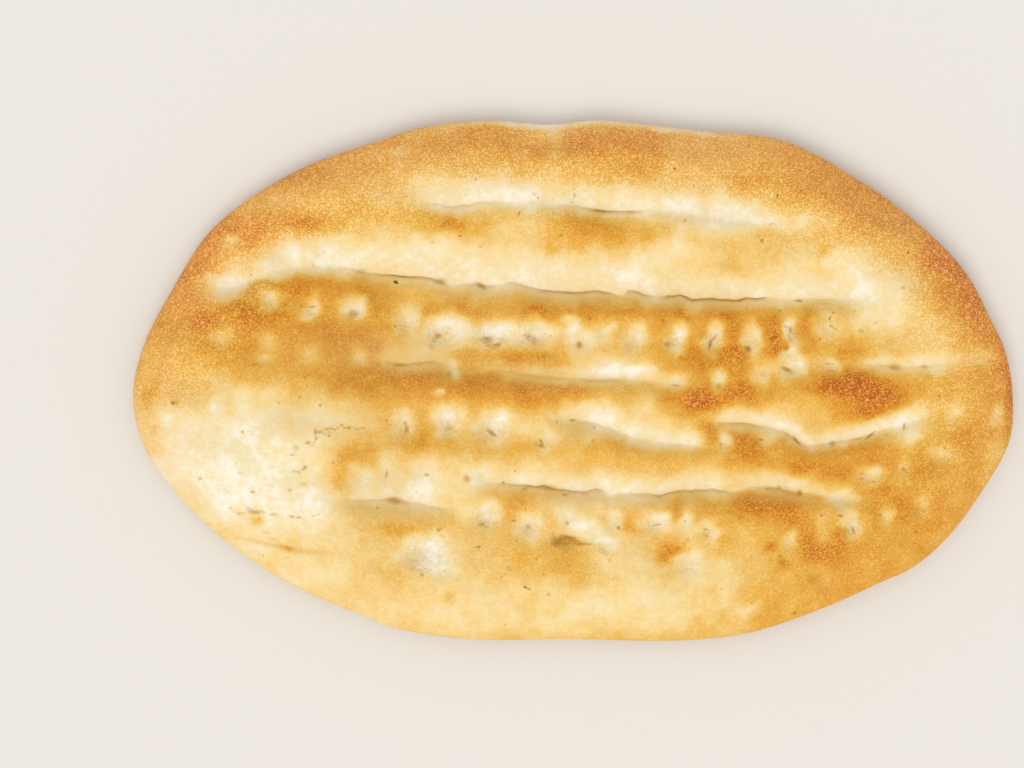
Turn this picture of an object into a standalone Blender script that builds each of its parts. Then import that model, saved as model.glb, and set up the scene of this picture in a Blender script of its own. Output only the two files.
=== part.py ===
"""Oval naan: one risen, hand-dimpled flatbread, 300 mm long, lying on its flat base.

The top is a height above the base at each place inside the bread's outline. It is the sum of a
rounded rim, a crown, swells where the dough puffed up, long furrows drawn by the fingers, single
fingertip dimples and a slight unevenness. +X runs along the bread, +Y across it, +Z is up, and the
origin is the middle of the base. All sizes below are millimetres.
"""
import math

import bmesh
import bpy
import numpy as np

MM = 0.001

# Driving sizes
LENGTH = 300.0
WIDTH = 177.5
WIDEST_HEIGHT = 6.5
BASE_INSET = 5.5
RIM_REACH = 24.0
RIM_RISE = 8.5
CROWN_RISE = 2.0
RELIEF_REACH = 13.0

# Unevenness of the hand-stretched dough
UNEVEN_WAVES = 26
UNEVEN_HEIGHT = 0.16
UNEVEN_LENGTHS = (16.0, 48.0)
UNEVEN_SEED = 11

# Fineness of the mesh
RINGS = 32
RIM_EASING = 1.25
UNDERSIDE_BANDS = 2
CURVE_STEPS = 24

# The outline seen from above, counter-clockwise: a closed smooth curve through these places
OUTLINE = (
    (150.0, -5.0), (147.5, 10.0), (141.5, 23.0), (135.0, 35.5), (125.0, 47.0), (110.0, 60.0),
    (95.0, 70.0), (80.0, 78.5), (67.0, 83.0), (45.0, 85.0), (20.0, 87.8), (7.5, 88.8), (-9.0, 87.3),
    (-28.0, 88.6), (-50.0, 86.6), (-70.0, 80.5), (-90.0, 73.5), (-110.0, 62.3), (-125.0, 49.5),
    (-137.0, 30.5), (-146.0, 13.0), (-150.0, -4.0), (-147.0, -20.5), (-138.0, -35.0),
    (-119.5, -53.7), (-96.0, -69.3), (-72.0, -79.7), (-60.0, -84.3), (-35.0, -87.9), (0.0, -87.9),
    (35.0, -88.4), (60.0, -85.8), (85.0, -77.5), (104.0, -69.0), (117.0, -62.8), (130.0, -50.8),
    (142.0, -33.8), (149.0, -20.0),
)

# Swells: middle x and y, half length, half width, rise
SWELLS = (
    (15.0, 73.0, 85.0, 13.0, 3.0),
    (-80.0, 58.0, 45.0, 14.0, 1.6),
    (-100.0, -24.0, 42.0, 24.0, 2.6),
    (-98.0, 12.0, 42.0, 13.0, 1.6),
    (-5.0, 50.0, 75.0, 8.0, 1.8),
    (5.0, 22.0, 85.0, 5.0, 1.6),
    (-30.0, -5.0, 55.0, 6.5, 2.2),
    (97.0, -4.0, 20.0, 9.0, 2.6),
    (43.0, -7.0, 14.0, 6.0, 1.8),
    (5.0, -26.0, 85.0, 6.0, 1.8),
    (62.0, -45.0, 28.0, 7.0, 1.6),
    (-15.0, -68.0, 85.0, 13.0, 2.4),
    (108.0, -46.0, 32.0, 24.0, 1.4),
    (120.0, 34.0, 22.0, 26.0, 1.2),
)

# Furrows: depth, reach of the gentle +Y bank, reach of the steep -Y bank, places from left to right
FURROWS = (
    (5.0, 12.0, 4.5, ((-118.0, 31.0), (-98.0, 40.0), (-75.0, 38.0), (-45.0, 33.5), (-10.0, 30.3),
                      (35.0, 29.0), (60.0, 27.5), (92.0, 27.5))),
    (2.6, 9.0, 4.0, ((-52.0, 60.5), (-36.0, 58.8), (-18.0, 60.0), (0.0, 59.0), (15.0, 57.0),
                     (40.0, 56.5), (68.0, 55.0))),
    (2.6, 5.0, 4.5, ((-64.0, 8.0), (-48.0, 7.0), (-28.0, 4.5), (-8.0, 1.5), (12.0, 0.5),
                     (32.0, 0.0))),
    (1.8, 5.0, 4.0, ((94.0, 6.0), (107.0, 5.0), (130.0, 7.0))),
    (4.2, 8.0, 4.0, ((-6.0, -13.0), (8.0, -14.5), (20.0, -19.0), (42.0, -22.5))),
    (3.8, 6.5, 3.5, ((46.0, -13.5), (60.0, -15.0), (73.0, -19.0), (82.0, -21.0), (95.0, -19.5),
                     (116.0, -12.5))),
    (3.8, 9.0, 4.5, ((-76.0, -38.0), (-61.0, -41.0), (-42.0, -43.0))),
    (4.6, 8.0, 4.0, ((-28.0, -35.0), (-8.0, -36.0), (8.0, -37.5), (25.0, -38.8), (42.0, -37.0),
                     (62.0, -36.5), (78.0, -38.0), (92.0, -41.0))),
)
FURROW_END = 14.0
FURROW_BANK_POWER = 1.6

# Fingertip dimples: middle x and y, half length, half width, depth
DIMPLES = (
    (-102.0, 27.5, 4.0, 4.0, 1.6), (-88.0, 24.0, 4.0, 4.0, 1.8), (-74.0, 24.0, 5.0, 5.0, 2.2),
    (-119.0, 15.0, 5.0, 5.0, 1.2), (-73.0, 8.0, 4.0, 4.0, 1.2), (-57.0, 19.0, 5.0, 5.0, 2.2),
    (-44.0, 16.0, 6.5, 5.5, 2.8), (-28.0, 15.0, 6.0, 5.0, 2.6), (-13.0, 15.5, 5.5, 4.5, 2.4),
    (3.0, 14.0, 5.5, 5.5, 2.4), (20.0, 14.5, 5.0, 6.0, 2.4), (34.0, 14.0, 5.0, 6.5, 2.8),
    (48.0, 14.0, 4.2, 7.0, 2.8), (60.0, 13.0, 4.0, 7.5, 2.8), (73.5, 14.0, 4.0, 7.0, 2.4),
    (86.0, 16.0, 4.5, 5.5, 1.8), (86.0, 5.0, 4.5, 4.5, 1.6), (73.5, 4.0, 5.5, 5.0, 2.2),
    (48.0, 0.0, 4.5, 5.0, 1.2), (-57.0, -15.0, 4.5, 5.5, 2.0), (-42.0, -15.0, 5.0, 6.0, 2.4),
    (-28.0, -16.0, 6.0, 5.0, 2.6), (-10.0, -20.0, 4.5, 4.5, 1.8), (50.0, -21.0, 3.5, 4.5, 1.4),
    (64.0, -20.5, 4.5, 4.0, 1.4), (-72.0, -33.0, 5.0, 5.0, 1.4), (-30.0, -46.0, 5.5, 5.0, 2.2),
    (-15.0, -49.0, 5.0, 4.5, 1.6), (0.0, -53.0, 9.0, 4.5, 3.4), (13.0, -48.0, 4.5, 4.5, 1.6),
    (27.0, -48.5, 5.0, 4.0, 1.8), (41.0, -49.5, 6.0, 4.0, 1.6), (-50.0, -59.0, 8.5, 7.0, 3.2),
    (40.0, -60.0, 5.0, 5.0, 1.6), (92.5, -46.5, 5.0, 6.0, 2.2), (100.0, -32.5, 5.5, 5.0, 1.6),
    (105.0, -46.0, 4.5, 5.0, 1.4), (118.0, -43.0, 4.5, 4.5, 1.2), (125.0, -27.0, 6.0, 5.0, 1.4),
    (112.0, -30.0, 4.5, 4.5, 1.0), (128.0, -12.0, 5.0, 5.0, 1.0), (73.0, -54.0, 5.0, 4.5, 1.2),
    (137.0, 9.0, 5.0, 5.0, 1.0), (84.5, -68.0, 6.0, 5.0, 1.0), (59.0, -78.0, 4.5, 4.0, 0.8),
)

# Crust colour, linear
CRUST_COLOUR = (0.80, 0.51, 0.19, 1.0)
CRUST_ROUGHNESS = 0.62


def outline_table():
    """Angles, edge radii and slant cosines along the closed curve through OUTLINE, at full size."""
    places = np.array(OUTLINE)
    before, here, after, beyond = (np.roll(places, shift, axis=0) for shift in (1, 0, -1, -2))
    step = np.linspace(0.0, 1.0, CURVE_STEPS, endpoint=False)[:, None, None]
    curve = 0.5 * (
        2.0 * here
        + (after - before) * step
        + (2.0 * before - 5.0 * here + 4.0 * after - beyond) * step ** 2
        + (3.0 * here - before - 3.0 * after + beyond) * step ** 3
    )
    curve = curve.transpose(1, 0, 2).reshape(-1, 2)
    low, high = curve.min(axis=0), curve.max(axis=0)
    curve = (curve - 0.5 * (low + high)) * np.array((LENGTH, WIDTH)) / (high - low)
    angle = np.arctan2(curve[:, 1], curve[:, 0])
    order = np.argsort(angle)
    angle, radius = angle[order], np.hypot(curve[:, 0], curve[:, 1])[order]
    turns = np.concatenate((angle - 2.0 * math.pi, angle, angle + 2.0 * math.pi))
    slope = np.gradient(np.tile(radius, 3), turns)[len(radius):2 * len(radius)]
    return angle, radius, 1.0 / np.sqrt(1.0 + (slope / radius) ** 2)


def smooth(low, high, value):
    """Zero below low, one above high, with soft ends between."""
    part = np.clip((value - low) / (high - low), 0.0, 1.0)
    return part * part * (3.0 - 2.0 * part)


def mound(x, y, middle_x, middle_y, half_length, half_width):
    """A round-topped mound of height one that fades out with distance."""
    return np.exp(-((x - middle_x) / half_length) ** 2 - ((y - middle_y) / half_width) ** 2)


def furrow(x, y, gentle, steep, places):
    """A valley of depth one along the places, with a gentle bank on its +Y side."""
    along = np.array(places)
    across = y - np.interp(x, along[:, 0], along[:, 1])
    bank = np.where(across > 0.0, gentle, steep)
    first, last = along[0, 0], along[-1, 0]
    length = smooth(first - FURROW_END, first + FURROW_END, x)
    length *= 1.0 - smooth(last - FURROW_END, last + FURROW_END, x)
    return length * np.exp(-np.abs(across / bank) ** FURROW_BANK_POWER)


def unevenness(x, y):
    """Low rolling waves in many directions, the same at every run."""
    draw = np.random.default_rng(UNEVEN_SEED)
    total = np.zeros_like(x)
    for _ in range(UNEVEN_WAVES):
        heading, phase = draw.uniform(0.0, 2.0 * math.pi, 2)
        wave = 2.0 * math.pi / draw.uniform(*UNEVEN_LENGTHS)
        total += np.sin(wave * (x * math.cos(heading) + y * math.sin(heading)) + phase)
    return UNEVEN_HEIGHT * total


def relief(x, y):
    """Rise and fall of the top above its plain crown."""
    height = unevenness(x, y)
    for middle_x, middle_y, half_length, half_width, rise in SWELLS:
        height += rise * mound(x, y, middle_x, middle_y, half_length, half_width)
    for depth, gentle, steep, places in FURROWS:
        height -= depth * furrow(x, y, gentle, steep, places)
    for middle_x, middle_y, half_length, half_width, depth in DIMPLES:
        height -= depth * mound(x, y, middle_x, middle_y, half_length, half_width)
    return height


def top_height(x, y, inset):
    """Height of the top at a place that lies inset from the edge."""
    round_part = 1.0 - np.clip(inset / RIM_REACH, 0.0, 1.0)
    rim = RIM_RISE * np.sqrt(1.0 - round_part ** 2)
    crown = CROWN_RISE * (1.0 - (x / LENGTH * 2.0) ** 2 - (y / WIDTH * 2.0) ** 2)
    return WIDEST_HEIGHT + rim + smooth(0.0, RELIEF_REACH, inset) * (crown + relief(x, y))


def square_to_disc(s, t):
    """Turns the square from -1 to 1 into the unit disc, each square ring into a circle."""
    wide = np.abs(s) >= np.abs(t)
    main = np.where(wide, s, t)
    share = np.where(wide, t, s) / np.where(main == 0.0, 1.0, main)
    turn = 0.25 * math.pi * share
    long_way, short_way = main * np.cos(turn), main * np.sin(turn)
    return np.where(wide, long_way, short_way), np.where(wide, short_way, long_way)


def shape_top(bm):
    """Moves the vertices of a flat square grid onto the bread's top."""
    angle, radius, slant = outline_table()
    flat = np.array([vert.co[:2] for vert in bm.verts])
    disc_x, disc_y = square_to_disc(flat[:, 0], flat[:, 1])
    ring = np.hypot(disc_x, disc_y)
    reach = 1.0 - np.clip(1.0 - ring, 0.0, 1.0) ** RIM_EASING
    heading = np.arctan2(disc_y * WIDTH, disc_x * LENGTH)
    edge = np.interp(heading, angle, radius, period=2.0 * math.pi)
    inset = (1.0 - reach) * edge * np.interp(heading, angle, slant, period=2.0 * math.pi)
    x = reach * edge * np.cos(heading)
    y = reach * edge * np.sin(heading)
    z = top_height(x, y, inset)
    for vert, place in zip(bm.verts, np.column_stack((x, y, z)) * MM):
        vert.co = place


def add_underside(bm):
    """Rolls the edge under in bands that end on the flat base, and closes the base."""
    loop = [edge for edge in bm.edges if edge.is_boundary]
    turns = np.linspace(0.0, 0.5 * math.pi, UNDERSIDE_BANDS + 1)
    for before, turn in zip(turns, turns[1:]):
        grown = bmesh.ops.extrude_edge_only(bm, edges=loop)["geom"]
        inward = BASE_INSET * MM * (math.cos(before) - math.cos(turn))
        for vert in (item for item in grown if isinstance(item, bmesh.types.BMVert)):
            vert.co.xy = vert.co.xy * (1.0 - inward / vert.co.xy.length)
            vert.co.z = WIDEST_HEIGHT * MM * (1.0 - math.sin(turn))
        edges = (item for item in grown if isinstance(item, bmesh.types.BMEdge))
        loop = [edge for edge in edges if edge.is_boundary]
    bmesh.ops.edgeloop_fill(bm, edges=loop)


def crust_material():
    """Golden crust."""
    material = bpy.data.materials.new("crust")
    material.use_nodes = True
    shader = material.node_tree.nodes["Principled BSDF"]
    shader.inputs["Base Color"].default_value = CRUST_COLOUR
    shader.inputs["Roughness"].default_value = CRUST_ROUGHNESS
    shader.inputs["Metallic"].default_value = 0.0
    return material


def make_naan():
    """The whole bread, one closed solid."""
    bm = bmesh.new()
    bmesh.ops.create_grid(bm, x_segments=2 * RINGS, y_segments=2 * RINGS, size=1.0)
    shape_top(bm)
    add_underside(bm)
    bmesh.ops.recalc_face_normals(bm, faces=bm.faces[:])
    mesh = bpy.data.meshes.new("naan")
    bm.to_mesh(mesh)
    bm.free()
    mesh.shade_smooth()
    mesh.materials.append(crust_material())
    naan = bpy.data.objects.new("naan", mesh)
    bpy.context.scene.collection.objects.link(naan)


for leftover in list(bpy.data.objects):
    bpy.data.objects.remove(leftover)
make_naan()
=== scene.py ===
"""Looks of an oval naan: risen flatbread with finger furrows, fingertip dimples, browned crust.

All tables of shapes are in millimetres in the frame of the solid: +X along the bread, +Y across it
and +Z up from the middle of its flat base.
"""
import math

import bpy
import numpy as np
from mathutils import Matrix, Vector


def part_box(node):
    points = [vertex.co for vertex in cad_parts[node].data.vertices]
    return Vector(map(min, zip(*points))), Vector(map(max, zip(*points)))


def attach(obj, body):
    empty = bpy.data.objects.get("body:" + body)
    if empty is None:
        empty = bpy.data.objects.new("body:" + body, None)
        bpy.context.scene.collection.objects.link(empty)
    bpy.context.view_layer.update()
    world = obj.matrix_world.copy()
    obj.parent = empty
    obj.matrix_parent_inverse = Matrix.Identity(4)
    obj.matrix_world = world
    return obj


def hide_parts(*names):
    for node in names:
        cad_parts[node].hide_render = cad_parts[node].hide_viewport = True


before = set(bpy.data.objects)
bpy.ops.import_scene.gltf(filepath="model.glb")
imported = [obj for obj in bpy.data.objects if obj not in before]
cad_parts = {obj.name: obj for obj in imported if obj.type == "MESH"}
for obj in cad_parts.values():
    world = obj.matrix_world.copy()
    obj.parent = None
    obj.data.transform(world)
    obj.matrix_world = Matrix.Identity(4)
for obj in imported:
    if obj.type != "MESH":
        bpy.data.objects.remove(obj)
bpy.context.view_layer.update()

bl_info = {
    "name": "Naan maker",
    "version": (1, 0, 0),
    "blender": (4, 5, 0),
    "location": "View3D > Sidebar > Naan",
    "description": "Bakes an oval naan with furrows, dimples and a browned crust",
    "category": "Add Mesh",
}

MM = 0.001
NODE = "naan"
BODY = "root"
NODE_LOW, NODE_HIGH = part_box(NODE)

# The outline seen from above, counter-clockwise: a closed smooth curve through these places
OUTLINE = (
    (150, -5), (147.5, 10), (141.5, 23), (135, 35.5), (125, 47), (110, 60),
    (95, 70), (80, 78.5), (67, 83), (45, 85), (20, 87.8), (7.5, 88.8), (-9, 87.3),
    (-28, 88.6), (-50, 86.6), (-70, 80.5), (-90, 73.5), (-110, 62.3), (-125, 49.5),
    (-137, 30.5), (-146, 13), (-150, -4), (-147, -20.5), (-138, -35),
    (-119.5, -53.7), (-96, -69.3), (-72, -79.7), (-60, -84.3), (-35, -87.9), (0, -87.9),
    (35, -88.4), (60, -85.8), (85, -77.5), (104, -69), (117, -62.8), (130, -50.8),
    (142, -33.8), (149, -20),
)
# Steps of the curve from one place to the next
CURVE_STEPS = 24

# Swells: middle x and y, half length, half width, rise
SWELLS = (
    (15, 73, 85, 13, 3), (-80, 58, 45, 14, 1.6), (-100, -24, 42, 24, 2.6), (-98, 12, 42, 13, 1.6),
    (-5, 50, 75, 8, 1.8), (5, 22, 85, 5, 1.6), (-30, -5, 55, 6.5, 2.2), (97, -4, 20, 9, 2.6),
    (43, -7, 14, 6, 1.8), (5, -26, 85, 6, 1.8), (62, -45, 28, 7, 1.6), (-15, -68, 85, 13, 2.4),
    (108, -46, 32, 24, 1.4), (120, 34, 22, 26, 1.2),
)

# Furrows, each with its depth, the reach of its gentle +Y bank and of its steep -Y bank, how much
# paler it is than the crust round it, how far that paleness reaches up and down, and its places:
# x, y and how tight the crease is there and how dark the painted shade of its line
FURROWS = (
    (5, 12, 4.5, 0.74, 14.5, 3.4, (
        (-120, 31, 0), (-98, 38, 0), (-84, 39, 0), (-75, 38, 0.3),
        (-71, 36.5, 0.5), (-60, 35.5, 1), (-50, 35, 0.8), (-45, 33.5, 0.7),
        (-41, 32, 0.1), (-33, 33, 0.5), (-30.5, 31.7, 0.8), (-25, 32.2, 0.2),
        (-20, 33.5, 0.5), (-15, 31.5, 0.6), (-10, 30.3, 0.8), (0, 29.7, 0.9),
        (8, 30.5, 0.8), (12, 29.5, 0.8), (15, 28.5, 0.5), (17, 28.6, 0),
        (18.5, 30.5, 0.7), (22, 30, 0.8), (25, 28.7, 0.6), (28, 28.6, 0),
        (31.5, 28.2, 0.8), (34, 28.9, 0.9), (36.5, 28.7, 0.9), (39.5, 27.5, 1),
        (50, 27.6, 1), (55, 27.2, 1), (58, 27.9, 1), (61, 27.8, 0.9),
        (64.5, 27.9, 0.9), (66, 27.8, 0.3), (70, 27.5, 0.1), (85, 27.5, 0.3), (95, 27.5, 0))),
    (2.6, 9, 4, 0.78, 9, 2.2, (
        (-52, 60.5, 0), (-48, 59.5, 0.3), (-40, 58.5, 0.5), (-36, 59, 0.5),
        (-32, 60, 0.3), (-20, 60, 0.1), (-6, 59.5, 0), (6, 58, 0.6),
        (8, 57.3, 0.9), (15, 56.8, 0.8), (20, 57, 0.8), (24, 57.5, 0.2),
        (40, 56.5, 0), (68, 53, 0))),
    (2.6, 5, 4.5, 0.42, 4.5, 2.2, (
        (-64, 7, 0.2), (-58, 5.3, 0.7), (-48, 6.5, 0.5), (-40, 4.5, 0.1),
        (-28, 4, 0), (-18, 2.5, 0.4), (-8, 1, 0.5), (0, 0.5, 0.2),
        (5, 0.3, 0.6), (10, 0.2, 0.5), (20, 0.2, 0.1), (36, -0.5, 0))),
    (1.8, 5, 4, 0.6, 4, 2.5, (
        (92, 5.5, 0), (100, 5, 0.2), (107, 4.8, 0.5), (112, 4.2, 0.2),
        (118, 4.8, 0.3), (130, 6, 0))),
    (4.2, 8, 4, 0.84, 7, 2.4, (
        (-6, -12.5, 0), (0, -13.3, 0.3), (6, -14, 0.4), (12, -16, 0.3),
        (18, -19, 0.2), (28, -21, 0.1), (34, -21.5, 0.3), (44, -22.5, 0))),
    (3.8, 6.5, 3.5, 0.76, 5, 1.8, (
        (47, -14, 0), (50, -14.2, 0.5), (56, -14.3, 0.8), (61, -15, 0.7),
        (66, -16, 0.4), (71, -17, 0.4), (75, -20, 0.8), (79, -22.3, 0.3),
        (88, -21, 0.5), (93, -20, 0.3), (98, -19, 0.5), (102, -17.8, 0.4),
        (110, -15, 0), (118, -12, 0))),
    (3.8, 9, 4.5, 0.76, 12.5, 2.6, (
        (-78, -40, 0.1), (-72, -40.3, 0.3), (-66, -40.5, 0.4), (-62, -39.6, 0.6),
        (-57, -41, 0.55), (-53, -41.3, 0.3), (-47, -42.8, 0.45), (-40, -43.3, 0.1))),
    (4.6, 8, 4, 0.76, 6.8, 2.2, (
        (-30, -34.5, 0), (-24, -35, 0.5), (-20, -35, 0.7), (-15, -35.6, 0.85),
        (-10, -35.5, 0.9), (-5, -37, 0.85), (4, -37.7, 0.75), (8, -36.3, 0.75),
        (12, -38.3, 0), (18, -38.3, 0.4), (24, -38.2, 0.5), (29, -39, 0.8),
        (34, -37.5, 0.8), (42, -37, 0.75), (50, -37, 0.7), (54, -38, 0.3),
        (60, -36, 0.2), (66, -36, 0.6), (76, -38, 0.6), (84, -38.5, 0),
        (94, -40, 0))),
    (0.8, 2, 1.3, -0.4, 1.2, 1.2, (
        (-116, -52.6, 0.1), (-105, -54.6, 0.2), (-98, -55.8, 0.25), (-90, -57.2, 0.1),
        (-84, -57.5, 0))),
)
# How far a furrow's end fades, and how sharply its banks and its paleness fall off
FURROW_END = 10
FURROW_POWER = 1.6
PALE_UP_POWER, PALE_DOWN_POWER = 3.2, 1.8
# The crease line: how far it runs past its places, its steps, the steps that round a corner each
# way, and the distances between which its tightness fades
CREASE_OVERRUN, CREASE_STEP, CREASE_ROUNDING = 8.0, 0.5, 5
CREASE_FADE = (1.5, 3.0)
# The painted shade strip under a crease, on its steep bank away from the light: its middle and
# reach as shares of the steep bank, its strength, and what is added to the tightness
CREASE_SHADE_DROP, CREASE_SHADE_REACH, CREASE_SHADE, CREASE_SHADE_LEAST = 0.35, 0.55, 0.7, 0.25

# Fingertip dimples: middle x and y, half length, half width, depth, paleness
DIMPLES = (
    (-102, 27, 3.2, 3.4, 1.6, 0.52), (-88.2, 24.2, 3.2, 3.3, 1.8, 0.6), (-74, 23.5, 4, 4, 2.2, 0.7),
    (-119, 14.5, 4, 3.6, 1.2, 0.34), (-103, 13, 3.5, 3, 0.8, 0.22), (-104, 7.5, 3, 2.5, 0.6, 0.2),
    (-88, 9.5, 3, 3, 0.8, 0.22), (-73, 7.5, 3, 3, 1.2, 0.32), (-57, 20, 3.4, 5, 2.2, 0.6),
    (-44.5, 16.3, 6, 5.3, 2.8, 0.85), (-28, 15, 6.5, 4.5, 2.6, 0.9), (-13, 15.5, 5.5, 4, 2.4, 0.8),
    (-2, 17, 3, 3.5, 1, 0.6), (3, 13.2, 4, 4.4, 2, 0.55), (10, 16.5, 3.5, 3.2, 1.2, 0.45),
    (20.5, 14, 3.6, 5, 2.4, 0.6), (33.7, 14, 3.5, 4.5, 2.8, 0.72), (47, 13.8, 3, 5.2, 2.8, 0.72),
    (59.3, 13, 2.6, 4.8, 2.8, 0.72), (73.8, 16.3, 2.1, 4.1, 2.4, 0.72), (72, 9.5, 2.5, 2, 1.2, 0.6),
    (86, 18.5, 3, 4.5, 1.8, 0.34), (86, 5, 4, 3.5, 1.6, 0.42), (74, 4, 5.5, 4.5, 2.2, 0.7),
    (62.3, 2.5, 3, 4.5, 0.8, 0.48), (49, -0.3, 2.2, 3.4, 1.2, 0.46),
    (34.2, -0.5, 3.1, 2.7, 1, 0.58), (-41, 3, 2.5, 3, 0.8, 0.5), (-45, -4, 1.3, 1.3, 0.5, 0.45),
    (-14, 4, 2, 1.5, 0.5, 0.3), (-57, -15, 3.8, 5.5, 2, 0.5), (-41.7, -14.5, 4, 6, 2.4, 0.75),
    (-28, -15.5, 6, 5, 2.6, 0.85), (-10, -20, 3.5, 4, 1.8, 0.6), (50, -21, 2.5, 4.5, 1.4, 0.6),
    (64, -20, 3.5, 3.5, 1.2, 0.4), (-72, -33.5, 4.5, 4.5, 1.4, 0.6), (-63, -31, 2, 5, 1, 0.4),
    (-50, -32, 4, 3, 1, 0.4), (-30, -32, 4, 4, 1, 0.6), (-30, -46, 5, 4.5, 2.2, 0.8),
    (-15, -49, 4.5, 4, 1.6, 0.6), (-2, -53.5, 5.5, 3.2, 3, 0.1), (2.2, -48.4, 3.8, 3, 0.6, 0.8),
    (-1, -45.6, 3.4, 2.5, 0.6, 0.6), (7.2, -51.4, 3.8, 2.6, 0.8, 0.82),
    (11.5, -54.5, 3.4, 2.2, 0.6, 0.65), (-38, 14, 4, 3.5, 0.5, 0.45), (-20.5, 14.5, 4, 3, 0.5, 0.5),
    (-52, 11, 5, 3.2, 0.5, 0.5), (14.5, 2.4, 9.5, 2.2, 0.3, 0.75), (3.5, -16, 6.5, 3, 0.3, 0.35),
    (13, -47.5, 4, 4, 1.6, 0.6), (27, -48, 4.5, 3.5, 1.8, 0.75), (37.5, -48.5, 3, 4.5, 1.2, 0.6),
    (45, -50.5, 3.5, 3.5, 1.2, 0.6), (-50, -58, 8, 6.5, 2.6, 0.9), (-43, -64.5, 6, 4, 1, 0.5),
    (39, -61.5, 4.5, 4.8, 1.6, 0.6), (90.5, -40, 3.5, 3.5, 1.2, 0.5),
    (93.5, -48.5, 2.8, 4.8, 2, 0.65), (98.5, -32, 4.2, 3.2, 1.6, 0.55),
    (104, -46.5, 2.6, 4.2, 1.4, 0.4), (118, -43, 3.2, 3.4, 1.2, 0.35),
    (124.5, -26, 4.4, 3.4, 1.4, 0.4), (111, -29, 3, 3.4, 1, 0.3), (106, -18.5, 2.5, 2.5, 0.8, 0.3),
    (128, -12, 4, 4.5, 1, 0.36), (142, -11.5, 3, 3, 0.6, 0.36), (73, -54, 3, 4, 1.2, 0.4),
    (137, 9, 4.5, 3.5, 1, 0.3), (84, -67.5, 6, 4.5, 1, 0.22), (84, -50, 2.4, 4, 0.8, 0.25),
    (59, -78, 4.5, 3.5, 0.8, 0.4), (72, -34, 3, 3, 0.8, 0.5), (-118, 32, 7, 5, 0.6, 0.7),
    (-98, 43, 6, 5.5, 1, 0.7), (-84, 43.5, 6.5, 5, 1, 0.6), (-116, 47.5, 2.5, 2.4, 0.6, 0.5),
)
# Parts of a dimple, each moved along and across by shares of its half sizes, and their reach
PALE_PATCH = (0.0, 0.0, 1.15)
# The heart, moved to the upper right, is a painted highlight on the dimple's wall facing the light
HIGHLIGHT_HEART = (0.35, 0.35, 0.6)
PRICK = (-0.25, -0.3, 0.55)
# Depth of the prick and paleness of the heart's painted highlight as shares of the dimple's
PRICK_DEPTH, HIGHLIGHT_PALENESS = 0.35, 0.7
# Painted shade of a prick for each millimetre of its dimple, its most, and a dimple's depth that
# wrinkles fully
PRICK_SHADE, PRICK_SHADE_MOST, WRINKLING_DEPTH = 0.3, 0.6, 1.5
# How flat a pale patch is on top
PATCH_POWER = 1.35

# Browning of the plain crust, and the level past which it rises half as fast
BROWN_START = 0.62
BROWN_KNEE = 1.0
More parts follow.
